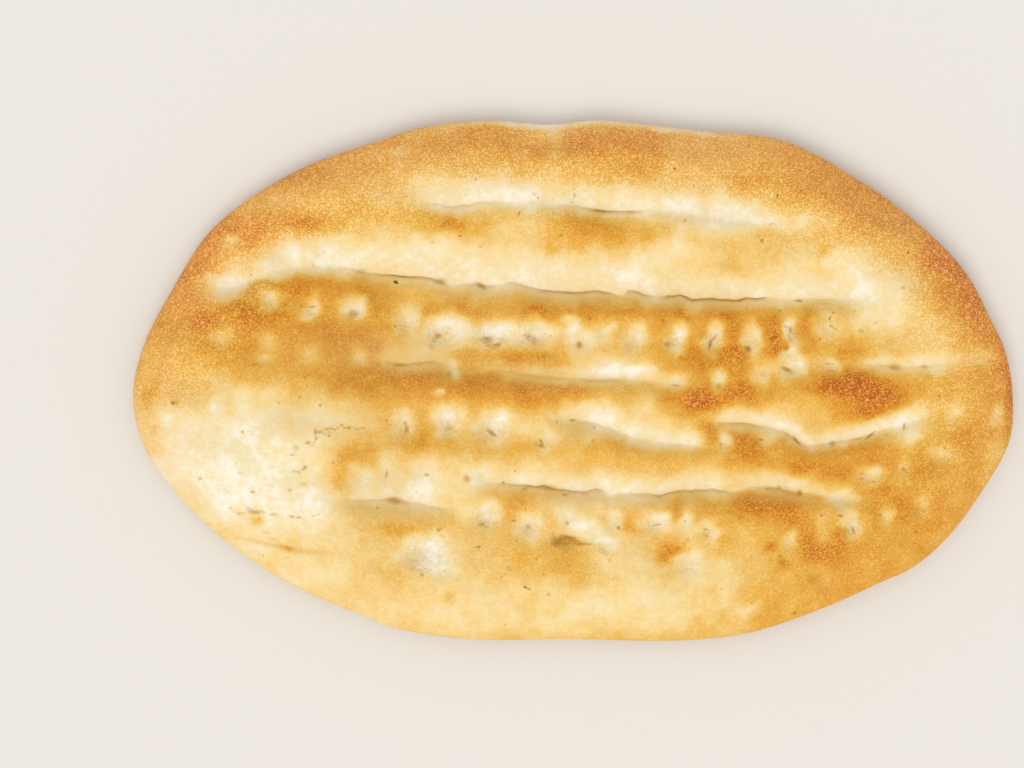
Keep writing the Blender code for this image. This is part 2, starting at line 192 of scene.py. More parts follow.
# Where the crust is more or less browned than that: x, y, half length, half width, change
BROWNING = (
    (-114, -30, 38, 23, -0.62), (-84, -13, 16, 8, -0.24), (-40, -80, 60, 14, -0.32),
    (26, -76, 30, 13, -0.28), (20, -58, 14, 8, -0.18), (-52, -37, 14, 7, -0.1),
    (-143, -5, 3, 3, 0.25), (-107.5, -46.5, 2.4, 2, 0.4), (-97, -56, 2.4, 1.6, 0.22),
    (83, 42.5, 3, 2.6, 0.38), (121, 38, 4, 3, 0.15), (-42, -73, 2.2, 3, 0.24),
    (-88, -58, 24, 12, -0.18), (105, 28, 20, 15, -0.4), (96, 31, 6, 9, -0.2),
    (122, 12, 16, 10, -0.14), (115, -15, 6, 6, -0.25), (130, 36, 12, 16, 0.18),
    (80, 54, 12, 4.5, -0.2), (29, 41, 11, 6, -0.22), (26, 35, 16, 3, -0.3), (0, 36, 5, 3, -0.3),
    (46, 56, 22, 6, -0.16), (104, -50, 30, 30, 0.1), (90, -64, 14, 14, 0.1), (84, -31, 20, 7, 0.16),
    (134, -20, 14, 30, 0.05), (128, 40, 10, 22, 0.06), (-112, 49, 24, 10, 0.24),
    (-92, 50, 14, 5, 0.2), (-98, 72, 20, 8, 0.22), (-138, 28, 8, 18, 0.12), (-60, 68, 14, 6, -0.1),
    (-20, 72, 24, 4, -0.08), (-36, 80, 18, 5, 0.14), (16, 79, 15, 6, 0.16), (42, 74, 8, 10, -0.08),
    (95, 66, 26, 12, 0.2), (126, 46, 14, 14, 0.16), (140, 20, 8, 26, 0.16),
    (-9, 87.5, 9, 2.5, -0.4), (38, 86.5, 10, 2.5, -0.35), (-88, 34, 26, 5, 0.2),
    (-104, 20, 36, 10, 0.2), (5, 50, 14, 4.5, 0.2), (-42, 51, 10, 4, 0.1), (-20, 50, 8, 5, -0.06),
    (35, 24, 60, 3.5, 0.2), (-72, 16, 14, 12, 0.09), (40, 12, 40, 12, 0.1),
    (-55, -2.5, 32, 6, 0.19), (-24, 7, 18, 5, 0.25), (-14, -6, 12, 5, 0.18), (-2, -8, 6, 4, 0.14),
    (14, 4.5, 12, 4.5, -0.34), (5, 12, 11, 6, -0.24), (42, -8, 10, 5, 0.44), (44, 8, 14, 8, 0.16),
    (60, 12, 14, 10, 0.15), (97, -4.5, 13, 6.5, 0.5), (84, -2, 6, 4, 0.12), (94, 9, 8, 5, 0.25),
    (57, -3, 5, 3.5, 0.12), (74, -8, 12, 3.5, -0.16), (57.5, -20.5, 5, 5, 0.2),
    (27, -10, 11, 4, -0.24), (-15.5, -15, 5, 4.5, -0.3), (68, -22, 12, 4, 0.1),
    (78, -31, 8, 5, 0.12), (-74, -22, 9, 5, 0.05), (-76, -34, 6, 8, 0.2), (-36, -30, 8, 5, -0.15),
    (-50, -21, 14, 4, 0.1), (5, -41, 16, 3, -0.12), (63, -43, 10, 4, 0.3), (73, -46, 5, 4, 0.17),
    (83, -58, 7, 5, 0.15), (31.5, -59, 5.4, 4.8, 0.42), (-3, -62, 11, 6, 0.12),
    (68, -78, 15, 8, 0.17), (-18, -43, 7, 4, 0.1), (46, -44, 4, 3, 0.1),
    (-108, 45, 16, 6, 0.22), (-126, 36, 9, 6, 0.08), (-78, 36, 12, 5, -0.14),
    (-24, 60, 20, 5, -0.16), (-12, 52, 7, 5, -0.2), (52, 53, 22, 5, -0.22), (36, 44, 8, 5, -0.24),
    (54, 36, 17, 4, 0.55), (-12, 22, 6, 4, 0.14), (-36, 4, 8, 3, 0.06), (0, -5, 7, 5, 0.12),
    (60, -4, 40, 5, 0.07), (48, -16, 6, 8, 0.18), (72, -16, 7, 7, -0.18), (104, -12, 14, 3, 0.12),
    (-96, -18, 6, 6, 0.16), (-54, -20, 10, 5, 0.1), (-70, -36, 8, 5, 0.75), (-48, -28, 6, 4, -0.2),
    (-10, -28, 14, 4, -0.2), (-36, -46, 6, 18, -0.15), (16, -42, 34, 4, -0.16),
    (-92, -44, 16, 5, -0.24), (-110, -58, 8, 5, -0.22), (50, -64, 20, 7, -0.15),
    (90, -36, 10, 5, 0.18), (83, -53.5, 7, 5, 0.16), (72, -76, 7, 5, -0.15), (12, -81, 7, 6, 0.13),
    (36, 61, 7, 5, 0.26), (118, -28, 18, 5, 0.12), (120, 28, 7, 6, 0.12), (-96, 60, 16, 5, -0.13),
    (-60, 60, 7, 5, -0.13), (56, 61, 9, 4, 0.28), (-92, 52, 9, 4, 0.4), (42, 52, 9, 4, -0.11),
    (108, 52, 7, 5, 0.11), (-106, 44, 14, 4, 0.11), (-48, 44, 7, 4, -0.1), (0, 45, 6, 3.5, 0.1),
    (84, 42, 7, 4, -0.2), (-121, 38, 7, 4, 0.3), (-72, 29, 6, 3, 0.12), (-48, 23, 6, 3, 0.15),
    (-36, 22, 6, 3, 0.2), (-12, 21, 5, 3, 0.18), (54, 19, 4, 5, 0.03), (67, 14, 2.6, 8, 0.2),
    (80, 18, 3, 6, 0.18), (-36, 5.5, 6, 4, 0.32), (50, 6, 6, 4, 0.04), (89, 3.5, 8, 4, 0.28),
    (-49, -14, 3, 8, 0.05), (107, -11, 6, 4, 0.1), (45.5, -19.5, 4.5, 4.5, 0.62),
    (-108, -28, 18, 5, 0.08), (-72, -27, 7, 4, 0.24), (60, -27, 9, 4, 0.12),
    (93, -21, 9, 2.5, 0.22), (143, -27, 5, 6, -0.14), (-130, -36, 6, 4, 0.1),
    (-79, -33.5, 4.5, 5.5, 0.22), (-67, -35, 2.5, 4, 0.14), (-36, -37, 6, 3, -0.1),
    (12, -36, 7, 3.5, -0.4), (83.5, -36.5, 6.5, 3.5, 0.8), (-120, -44, 7, 4, -0.1),
    (0, -43, 7, 4, -0.12), (84, -44, 6, 4, -0.08), (120, -44, 6, 5, 0.1), (-26, -54, 8, 7, -0.1),
    (48, -60, 5, 4, -0.08), (96, -60, 7, 4, -0.08), (-90, -67, 10, 4, -0.17), (84, -68, 6, 4, 0.22),
    (-54, -82, 9, 4, 0.1), (-10, 84, 6, 4, -0.12), (-57, -50, 14, 2.2, 0.14), (-24, 76, 6, 4, 0.12),
    (34.5, -44, 4, 3.2, 0.26), (19, -49.5, 3.5, 3, 0.26), (-105, 8, 28, 9, 0.06),
    (-98, 45, 9, 4, 0.85), (-42, 44, 11, 4, -0.3), (-72, 42, 8, 5, -0.35),
    (38, 21, 4, 4, 0.1), (97, 20, 6, 4, -0.12), (-86, -37, 5, 5, -0.2), (-48, -36, 6, 3, -0.35),
    (4, -51, 16, 4, -0.2), (12, -60, 7, 5, -0.1), (131, -13, 5, 4, 0.1), (4, -16.5, 9, 4, -0.16),
    (-133, 20, 6, 6, -0.12), (148, 0, 4, 30, 0.2), (-10, -90, 80, 5, 0.1), (20, 78, 90, 6, 0.03),
    (-109.5, 37, 3.5, 5, 0.7), (-93.5, 42, 2.5, 6, 0.4), (108, 20, 6, 4, -0.1),
    (-80, 2, 13, 5, 0.1), (-102, -4, 9, 4, -0.09), (84, -12, 7, 3, -0.1), (108, -65, 5, 4, 0.1),
    (74, 60, 6, 4, -0.1), (72, 46, 9, 5, -0.1), (60, -36.5, 8, 3.5, 0.4), (-108, -12, 7, 4, -0.1),
    (67, 5, 3, 3, -0.22), (60, -5, 6, 3, 0.1), (48, 21, 4, 2.5, 0.12), (60, 22, 4, 3, -0.1),
    (-54, 3.2, 9, 2, 0.18), (0, -1.4, 12, 2, 0.26), (-13, 3.5, 5, 3, 0.14),
    (113.5, -18.5, 5, 4.5, -0.3), (10, -22, 8, 3, 0.1), (-19, -23, 6, 3.5, 0.14),
    (71.5, -62.3, 2.2, 2, 0.3), (67, -56.6, 1.8, 1.5, 0.26),
    (54, 39.5, 4, 4.5, 0.16), (82, 36, 3, 3, 0.25), (60, 67, 5, 4, 0.1), (26, 50, 6, 2.5, 0.14),
    (-41, 52, 6, 3, 0.12), (-8.5, 43, 3, 3, 0.3), (-6.5, 79, 1.8, 6, -0.16),
    (-57, 77.5, 6, 1.8, -0.2), (-126, 21, 4, 3, 0.16), (-93, 30, 5, 2, 0.08),
    (-113, 25, 9, 1.8, 0.1), (136, 21, 4.5, 9, 0.08), (148, -5, 3, 12, 0.07), (-134.5, -8, 2, 2, 0.22),
    (-121, -9, 3, 3, -0.22), (-137, -12, 3, 4, -0.12), (-141, -17, 2.5, 2, 0.2),
    (-111, -4, 4, 4, -0.18), (-78, -27, 5, 7, 0.12), (-87, -27, 4, 5, -0.08),
    (-66.5, 10.5, 3, 2.6, 0.26), (-88, 2.5, 4, 2.5, 0.14), (76.5, -29, 3.5, 2.5, 0.08),
    (-77, -23.5, 7, 3.5, 0.14), (60, -53, 6, 4, -0.08), (-133, 8, 8, 6, -0.05),
    (-22, 4, 18, 5, 0.1), (-62, -32, 11, 7, 0.1), (-72, 8, 26, 12, 0.04),
)

# Painted shade, grey where the pale dough lies in shade: x, y, half length, half width, share
PAINTED_SHADE = (
    (-54, 10, 11, 4.8, 1.1), (-54, 7, 8, 2.2, 0.9), (3, -16.5, 9, 3.6, 0.35), (-6, 1, 10, 1.8, 0.8),
    (9, 0, 9, 1.6, 0.8), (-57, -43.8, 14, 3, 0.6), (-54, -61, 6, 3.4, 0.15), (-82, -15, 12, 5, 0.4),
    (-77, -16.5, 9, 2.4, 0.5), (-62, -34, 12, 5, 0.25), (-78, 9, 20, 8, 0.2),
    (52, 56, 14, 3.5, 0.3), (-15, -50, 5, 3, 0.3),
    (-3, -49.5, 3, 3, 0.4), (-30, -48.5, 4.5, 2.6, 0.3), (72, -38, 12, 2.4, 0.5),
    (72, 3.2, 6, 2, 0.4), (108, 4.2, 9, 1.6, 0.6), (50, 29.8, 10, 2, 0.35),
    (0, 26.5, 60, 1.6, 0.25), (-88, -13, 14, 4, 0.2), (62, -16.5, 12, 1.8, 0.4),
    (95, -19.8, 12, 1.4, 0.3),
)

# Painted shade, a darker dull cast over broad parts of the crust: x, y, half length, half width, share
BROAD_SHADE = (
    (-62, 8, 44, 11, 1), (-16, 3, 24, 4, 0.9), (-62, -33, 15, 8, 0.7), (-68, -13, 18, 7, 0.5),
    (110, 56, 16, 9, 0.7), (50, 65, 34, 6, 0.45), (-36, 62, 24, 8, 0.4),
)

# The pale strip of the far edge: where it starts and ends along x, its fade from the edge in,
# and its paleness
PALE_STRIP_STARTS, PALE_STRIP_ENDS = (-60.0, -20.0), (30.0, 65.0)
PALE_STRIP_FADE, PALE_STRIP_PALENESS = (0.8, 3.0), 0.7

# Small dark pits and specks, real crumbs and painted shade in their hollows: x, y, radius, darkness
SPECKS = (
    (-48, 11.3, 1.1, 0.35), (-18.2, 18.3, 0.5, 0.35), (-29, 11.8, 0.6, 0.4), (-27.2, 11, 0.6, 0.6),
    (-25.2, 12, 0.7, 0.6), (-13.5, 13.8, 0.9, 0.5), (-7.8, 15, 0.4, 0.5), (-13, 12.5, 0.5, 0.4),
    (5.3, 20.8, 0.7, 0.7), (3.5, 22.5, 0.5, 0.4), (29.8, 20, 0.6, 0.75), (31.5, 12.3, 1, 0.45),
    (36, 7.7, 0.6, 0.6), (38, 7, 0.5, 0.4), (48.5, -1.8, 1, 0.4), (71.5, 10.8, 1.1, 0.8),
    (71, 18.2, 0.5, 0.4), (63.8, 2.2, 1.1, 0.35), (82.8, 14, 0.4, 0.6), (86.2, 20.8, 0.45, 0.9),
    (87.5, 22.8, 0.45, 0.7), (86.6, 18.5, 0.5, 0.5), (88.3, 17.3, 0.5, 0.4),
    (94.4, 23.3, 0.5, 0.35), (96.7, 16.7, 0.8, 0.4), (101.4, 19.3, 0.35, 0.55),
    (69.4, 23.5, 0.6, 0.5), (58.2, 24.3, 0.5, 0.35), (69, 15, 0.5, 0.4), (-57, -14.2, 0.5, 0.5),
    (-63, -13.3, 0.5, 0.5), (-61.5, -15, 0.5, 0.4), (-54, -20.3, 0.5, 0.4), (-36, -33, 1.2, 0.5),
    (-23.7, -34.5, 0.6, 0.6), (-19.8, -30.6, 0.4, 0.5), (-11.2, -20.3, 0.5, 0.7),
    (-10.8, -21.8, 0.8, 0.6), (-5.7, -14, 0.5, 0.4), (7, -15.8, 0.5, 0.5), (6.5, -20.3, 0.5, 0.4),
    (-92, -5.5, 0.5, 0.5), (-85, -8.3, 0.5, 0.6), (-99, -7.5, 0.4, 0.4), (-84.5, -17.2, 0.6, 0.5),
    (-83.2, -16.4, 0.5, 0.6), (-82, -18.5, 0.5, 0.55), (-81.5, -16, 0.5, 0.5),
    (-80, -16.3, 0.5, 0.45), (-78, -14.8, 0.45, 0.5), (-77, -15.8, 0.4, 0.45),
    (-75.3, -15.9, 0.6, 0.6), (-72.5, -16.3, 0.5, 0.4), (-70.5, -16, 0.5, 0.4),
    (-68, -18.6, 0.5, 0.35), (-86.3, -19.5, 0.6, 0.5), (-89.2, -20.8, 0.5, 0.6),
    (-87.5, -21.7, 0.5, 0.35), (-93, -22.5, 1.2, 0.35), (-111.2, -17.3, 0.6, 0.5),
    (-112, -31, 0.6, 0.35), (-90.2, -29.2, 0.7, 0.65), (-92.2, -30.8, 0.5, 0.45),
    (-94, -30.5, 0.5, 0.35), (-95.3, -36.8, 0.7, 0.45), (-109.5, -43, 0.6, 0.4),
    (-115.5, -43, 0.6, 0.35), (-104.5, -44, 0.5, 0.35), (-95, -45.7, 0.5, 0.55),
    (-87.5, -45.5, 0.5, 0.35), (-85.5, -44.8, 0.5, 0.35), (-105, -59.2, 0.4, 0.5),
    (-60, 38.5, 0.4, 0.35), (-88, 38.8, 0.6, 0.35), (-109.3, 35.8, 0.4, 0.5), (-91.5, 25, 0.5, 0.6),
    (-66, 21.5, 0.4, 0.5), (-60, 18.2, 0.5, 0.6), (-107.5, 5.2, 0.4, 0.8), (-106.3, 5.6, 0.35, 0.7),
    (-90.2, 1.1, 0.45, 0.75), (-70.2, 1.5, 0.4, 0.6), (-75, 14.8, 0.4, 0.5), (-107, 18, 0.5, 0.4),
    (-106, 24.7, 0.4, 0.5), (-118, 22.9, 0.4, 0.5), (-100, 16, 0.4, 0.4), (-97, 25.5, 0.6, 0.5),
    (123, -5.2, 0.5, 0.75), (132.8, -17.5, 0.7, 0.6), (49.5, -21.5, 0.6, 0.4),
    (60.3, -22, 0.4, 0.6), (68, -23, 0.4, 0.5), (62.3, -28.5, 0.6, 0.5), (105.5, -18.3, 0.5, 0.45),
    (111, -30, 0.8, 0.5), (125, -22.7, 0.5, 0.5), (127, -24.3, 0.4, 0.4), (106, -36, 0.4, 0.4),
    (85.2, -36, 0.4, 0.4), (69.5, -36.2, 0.7, 0.55), (76.3, -38, 1, 0.85), (83, -45.4, 0.4, 0.85),
    (103, -45.2, 0.6, 0.4), (110.5, -42, 0.5, 0.4), (120, -42.2, 0.5, 0.45), (118, -44, 0.6, 0.4),
    (115.2, -51, 0.7, 0.65), (102.3, -52.2, 0.4, 0.4), (71, -45, 0.5, 0.4), (-66.2, -43, 0.4, 0.5),
    (-53, -37.8, 0.5, 0.35), (-45.5, -50.3, 0.7, 0.6), (-43.3, -49.2, 0.4, 0.4),
    (-29, -49.5, 0.5, 0.4), (-16.2, -43.3, 0.4, 0.5), (-15.3, -49.3, 1, 0.45),
    (-19.3, -53.7, 0.4, 0.55), (-2.3, -48, 0.8, 0.45), (-43.5, -64, 0.5, 0.35),
    (-12.5, -59.8, 0.6, 0.5), (-22, -63, 1, 0.35), (-24.3, -66, 0.6, 0.35), (-10.5, -65, 0.6, 0.4),
    (-16.5, -69.2, 0.38, 0.95), (-15, -70, 0.32, 0.9), (-8.5, -71.8, 0.7, 0.4),
    (-23, -82.5, 0.5, 0.35), (15, -49.5, 0.6, 0.65), (37.2, -47.3, 0.4, 0.5),
    (38.2, -53.3, 0.5, 0.45), (35, -56.3, 0.8, 0.4), (58.7, -47, 0.5, 0.4), (69.5, -59, 0.5, 0.35),
    (60, -75, 0.5, 0.5), (75, -78.8, 0.8, 0.55), (49.3, -70, 0.4, 0.35), (12, -60.5, 0.5, 0.35),
    (-56.5, 61.7, 0.4, 0.5), (-33, 67.5, 0.35, 0.8), (-13.5, 62.8, 0.5, 0.4),
    (-12, 61.5, 0.5, 0.45), (-3.3, 66, 0.35, 0.5), (-3.3, 62.8, 0.4, 0.4), (0.3, 62.3, 0.45, 0.6),
    (-0.7, 60, 0.4, 0.5), (0, 64.3, 0.5, 0.35), (0, 72.8, 0.5, 0.6), (-47.5, 46.5, 0.7, 0.35),
    (-31.5, 45, 0.6, 0.4), (-6.9, 55.9, 0.4, 0.4), (-7, 67.3, 0.5, 0.35), (33.8, 71, 0.4, 0.95),
    (40.3, 65.3, 0.5, 0.45), (27.5, 67.3, 0.5, 0.4), (37.3, 53.8, 0.7, 0.4), (63.3, 47, 0.7, 0.65),
    (61.7, 49, 0.5, 0.35), (31, 75.5, 0.5, 0.4), (105.8, 57, 1, 0.4), (112.8, 43.2, 0.55, 0.75),
    (115, 47, 0.4, 0.5), (129.7, 39.3, 0.4, 0.9), (131.3, 14.8, 0.4, 0.6), (126.5, 32, 0.6, 0.5),
    (110.5, 31, 0.7, 0.4), (129, 1, 0.5, 0.35), (-134.8, -7.5, 0.7, 0.8), (141, -18, 0.5, 0.5),
    (116, -51, 0.4, 0.4), (142, -2, 0.5, 0.5),
)
# Distances outside a pit between which its darkness fades
PIT_FADE = (0.9, 1.5)
# Stretched pits, real crumbs and painted shade in their hollows: x, y, half length, half width,
# turn in degrees, darkness
STROKES = (
    (-45.8, 15, 1.2, 0.9, 0, 0.6), (-29.3, 14.1, 2.3, 0.8, 5, 0.6),
    (-15.5, 14.7, 1.8, 0.5, -25, 0.6), (1.8, 11.8, 1.1, 1.4, 0, 0.6), (17.5, 10.5, 1.5, 2, 0, 0.22),
    (-42, 2, 1, 1.5, 0, 0.45), (34.5, 14, 1.8, 0.6, 20, 0.3), (34.5, -1.7, 1.5, 0.4, -10, 0.45),
    (46, 12, 0.6, 1.8, -15, 0.62), (47.3, 14.2, 0.5, 1.5, -40, 0.5), (58.7, 10.6, 1, 1.2, 30, 0.8),
    (73.2, 17.3, 0.8, 1.1, 0, 0.5), (71.8, 3.6, 2.2, 0.7, -25, 0.65), (76.3, 27, 1.3, 0.5, 0, 0.7),
    (85, 26, 2, 0.5, 0, 0.3), (85.8, 5.6, 1.8, 0.3, 0, 0.45), (86.5, 3.2, 1.5, 0.3, 0, 0.4),
    (-56.3, -16.3, 0.8, 1.6, 0, 0.55), (-63, -31.5, 0.5, 1.5, -15, 0.5),
    (-42, -16, 1.5, 1, 0, 0.35), (-49.5, -31.7, 1, 0.6, 0, 0.5), (-27.8, -17.6, 2, 0.6, -35, 0.6),
    (-0.3, -13.4, 1, 0.4, 0, 0.6), (-86.5, -17.2, 0.7, 1.2, 0, 0.5), (-94.5, -25, 0.9, 0.3, 0, 0.4),
    (-125.8, -33, 0.8, 0.5, 0, 0.5), (-107.8, -37.4, 0.9, 0.5, 0, 0.55),
    (-90.5, -34.8, 1, 0.4, 0, 0.4), (-107.3, -44.3, 2, 0.8, 0, 0.55),
    (-112.5, -44.8, 1, 0.6, 0, 0.4), (-101, -45, 1.6, 0.6, 0, 0.4), (-92.5, -46, 1.1, 0.4, 0, 0.5),
    (-103.5, -51.3, 1.5, 0.4, 0, 0.3), (-80.5, -27.8, 0.3, 0.6, 0, 0.5),
    (-60, 33.2, 0.8, 0.6, -15, 1), (-72, 37, 2, 1, 0, 0.4), (-82, 33.3, 0.7, 0.4, 0, 0.6),
    (-87.8, 24.8, 1.3, 0.5, 0, 0.5), (-74, 22.5, 1.7, 1.2, 0, 0.5), (-58.5, 5.2, 2.2, 0.6, 5, 0.5),
    (63, -20, 1, 0.5, 0, 0.6), (75.3, -20.2, 0.6, 2.3, 35, 0.6), (87.5, -21.3, 1, 1, 0, 0.55),
    (100.3, -18.4, 1.9, 0.4, 40, 0.8), (96, -19.8, 2, 0.4, 10, 0.4),
    (111.3, -15.5, 0.5, 1.4, -15, 0.5), (97.2, -31.5, 0.9, 0.5, 0, 0.5),
    (97, -33.3, 1, 0.3, 0, 0.4), (65.5, -36.7, 1, 0.4, 0, 0.5), (89.5, -45.4, 1.1, 0.5, -10, 0.6),
    (94, -50.5, 0.5, 1.6, 15, 0.55), (44.4, -50, 1.3, 0.3, -15, 0.5),
    (44.4, -52.2, 1.2, 0.3, 0, 0.4), (-44, -52.5, 1, 0.3, 0, 0.35), (-31, -48.5, 1, 0.7, -20, 0.5),
    (-20.2, -47.2, 0.8, 0.4, 0, 0.6), (-32, -55.8, 0.9, 0.4, 10, 0.65),
    (-51, -65.2, 0.8, 0.5, -30, 0.55), (-56, -60.5, 3, 2, 0, 0.22), (-1.8, -53.2, 3, 0.9, -6, 0.8),
    (2, -55, 4.2, 0.5, 0, 0.55), (-5.5, -54.2, 2.2, 1.4, 20, 0.65), (-7, -52.2, 0.5, 1.6, 0, 0.35),
    (-16.5, -36.7, 1.2, 0.5, 10, 0.5), (-3, -38.5, 1.3, 0.5, -10, 0.5),
    (-8.5, -36.2, 3.2, 1, -5, 0.5), (-60.5, -40.6, 2.6, 1.3, -8, 0.55),
    (-45, 33.4, 2.2, 1.1, 0, 0.5), (-31.3, 32, 2, 0.8, -35, 0.55),
    (-28.8, 13.6, 1.8, 1.5, 15, 0.45), (-13.5, 14, 1.8, 1.2, -20, 0.35),
    (28, -48.6, 1.6, 0.4, 12, 0.45), (10, -57.5, 2, 1, -30, 0.35), (-38, 48.5, 0.8, 0.3, 0, 0.8),
    (-18.4, 56, 0.3, 0.9, -25, 0.8), (-4.5, 48.5, 0.8, 0.5, 0, 0.6), (8.5, 57.3, 3, 0.5, -8, 0.6),
    (68.3, 62, 0.35, 0.6, 0, 0.9), (66.5, 52.7, 1, 0.3, 15, 0.35), (118, 4.7, 1.2, 0.6, 0, 0.45),
    (108, 4.5, 2, 1.3, 0, 0.5),
)

# Unevenness of the hand-stretched dough: how many waves, their lengths and their seed
UNEVEN_WAVES = 26
UNEVEN_LENGTHS = (16.0, 48.0)
UNEVEN_SEED = 11

# Layers of random hills: height, spacing and seed of each layer
WARP_X = ((1.4, 9.0, 21), (1.1, 4.0, 22), (0.5, 2.0, 28))
WARP_Y = ((1.0, 8.0, 23), (0.9, 3.5, 24), (0.5, 2.0, 29))
BROWN_CLOUDS = ((0.05, 11.0, 25), (0.05, 4.5, 26))
STRIP_RAGGED = ((0.8, 6.0, 27),)
DIMPLE_RAGGED = ((0.3, 2.6, 30),)
CREASE_DRIFT, CREASE_WOBBLE = ((0.25, 3.1, 33),), ((0.2, 1.7, 34),)
DENTS = ((1.0, 13.0, 41),)
HILL_CELLS = 256

# Grain: browning over which it sets in, its strength all over and more on the rim, then the
# browning over which dark crust coarsens it, and by how much
BAKED, GRAIN_ALL_OVER, GRAIN_ON_RIM = (-0.1, 0.6), 0.28, 0.54
WELL_BAKED, GRAIN_WELL_BAKED = (0.75, 1.05), 0.8
# Distances in from the edge over which the far rim's grain and tan fade, and where along y the
# near side turns into the far side
RIM_GRAIN_FADE, RIM_TAN_FADE, NEAR_TO_FAR = (18.0, 42.0), (4.0, 30.0), (-90.0, 50.0)
# Blister height on raw crust, and more of it on brown crust, as shares
BLISTER_RAW, BLISTER_BROWN = 0.35, 0.9

# The mesh: faces of the top beside each face of the base, bands down the side, how the top's
# rings crowd to the edge, and the base grid's distance from its edge with its dents' fade
TOP_FINENESS = 4
SIDE_BANDS = 8
RIM_EASING = 1.25
BASE_MARGIN, DENT_FADE = 2.5, (2.0, 16.0)

# A distance beyond every crease and pit, and the base's vertex values
FAR = 99.0
PLAIN_CRUST = {
    "browning": BROWN_START, "damp": 0.0, "dull": 0.0, "grainy": 0.5, "rim": 0.0, "under": 1.0,
    "dimpled": 0.0, "crease_gap": FAR, "crease_tight": 0.0, "pit_u": FAR, "pit_v": 0.0,
    "pit_dark": 0.0,
}

# Sizes of the crust's patterns in millimetres
PATCH_SIZE, MOTTLE_SIZE, GRAIN_SIZE, CURL_SIZE = 9.0, 2.4, 0.56, 1.15
BLOTCH_SIZE, WRINKLE_SIZE = 14.0, 1.5
# Browning over which crust turns toasted, liveliness of pale crust and what toasting takes off it
TOASTED, LIVELY, LIVELY_LOSS = (0.15, 0.65), 1.75, 0.85
# Shifts of the browning by patches, mottle and grain, and paling by grain and curls
PATCH_SHIFT, MOTTLE_SHIFT, GRAIN_SHIFT, GRAIN_PALING, CURL_PALING = 0.24, 0.22, 0.16, 0.4, 0.16
# Browning of the underside, its shifts by blotches, mottle and grain, and where the side turns
UNDER_BROWN, UNDER_BLOTCH, UNDER_MOTTLE, UNDER_GRAIN, SIDE_TURN = 0.6, 0.9, 0.3, 0.25, (0.55, 1.0)
# Browning at the end of the colour ramp, and the places of its colours along it
RAMP_END, RAMP_PLACES = 1.3, (0.0, 0.115, 0.27, 0.46, 0.615, 0.77, 0.92)
# Shares of the rim's tan, the broad painted shade and the painted shade in creases and pricks
TAN_SHARE, BROAD_SHADE_SHARE, PAINTED_SHADE_SHARE = 0.18, 0.15, 0.66
# Flecks: by grain, by curls, by toasting, without it and everywhere, and the most that they darken
FLECK_GRAIN, FLECK_CURLS, FLECK_TOASTED, FLECK_RAW = 1.1, 0.3, 0.75, 0.25
FLECK_ALL, FLECK_DARKEN = 0.11, 0.11
# Crease line, painted shade in the crease: raggedness by grain and mottle, its upper and lower
# edges, then how far its core lies below its middle, the core's edges and the tightness over which
# it shows, and their shares
LINE_GRAIN, LINE_MOTTLE, LINE_ABOVE, LINE_BELOW = 0.4, 0.5, (0.0, 0.4), (-1.7, 0.1)
CORE_DROP, CORE_REACH, CORE_TIGHT = 0.15, (0.1, 0.5), (0.6, 1.05)
LINE_SHARE, CORE_SHARE = 0.66, 0.32
# Pit, real dark crumbs and burnt specks with painted shade in its hollow: raggedness by grain,
# inner edge for its darkness, outer edge, and the darkness over which brown and then soot show,
# with their shares
PIT_GRAIN, PIT_CORE, PIT_EDGE = 0.8, 0.3, 1.55
PIT_BROWN, PIT_BROWN_SHARE, PIT_SOOT, PIT_SOOT_SHARE = (0.0, 0.8), 0.86, (0.84, 1.0), 0.85
# Heights of the bump in millimetres
MOTTLE_RISE, GRAIN_RISE, CURL_RISE, WRINKLE_RISE, PIT_DROP = 0.10, 0.08, 0.05, 1.3, 0.10
CRUST_SPECULAR, FLOOR_ROUGHNESS = 0.2, 0.8

# The stage: how far the floor lies under the base, the width of the camera's sensor, and the
# place that the camera looks at, at the height of the rim
FLOOR_GAP = 0.2
SENSOR_WIDTH = 36.0
LOOKED_AT = (-20.8, -1.2, 6.5)


def linear(red, green, blue):
    """Scene colour of a colour given in 0 to 255 display values, with full alpha."""
    shares = np.array((red, green, blue)) / 255.0
    low = shares / 12.92
    high = ((shares + 0.055) / 1.055) ** 2.4
    return (*np.where(shares <= 0.04045, low, high).tolist(), 1.0)


def number_property(name, description, value, **limits):
    """A number with its limits and unit."""
    return bpy.props.FloatProperty(name=name, description=description, default=value, **limits)


def angle_property(name, description, degrees):
    """An angle, given in degrees."""
    return number_property(name, description, math.radians(degrees), unit="ROTATION")


def length_property(name, description, value):
    """A length in metres, given in millimetres."""
    return number_property(name, description, value * MM, min=0.0, precision=5, unit="LENGTH")


def colour_property(name, description, red, green, blue):
    """A colour swatch, given in display values."""
    return bpy.props.FloatVectorProperty(
        name=name, description=description, default=linear(red, green, blue), size=4,
        min=0.0, max=1.0, subtype="COLOR",
    )


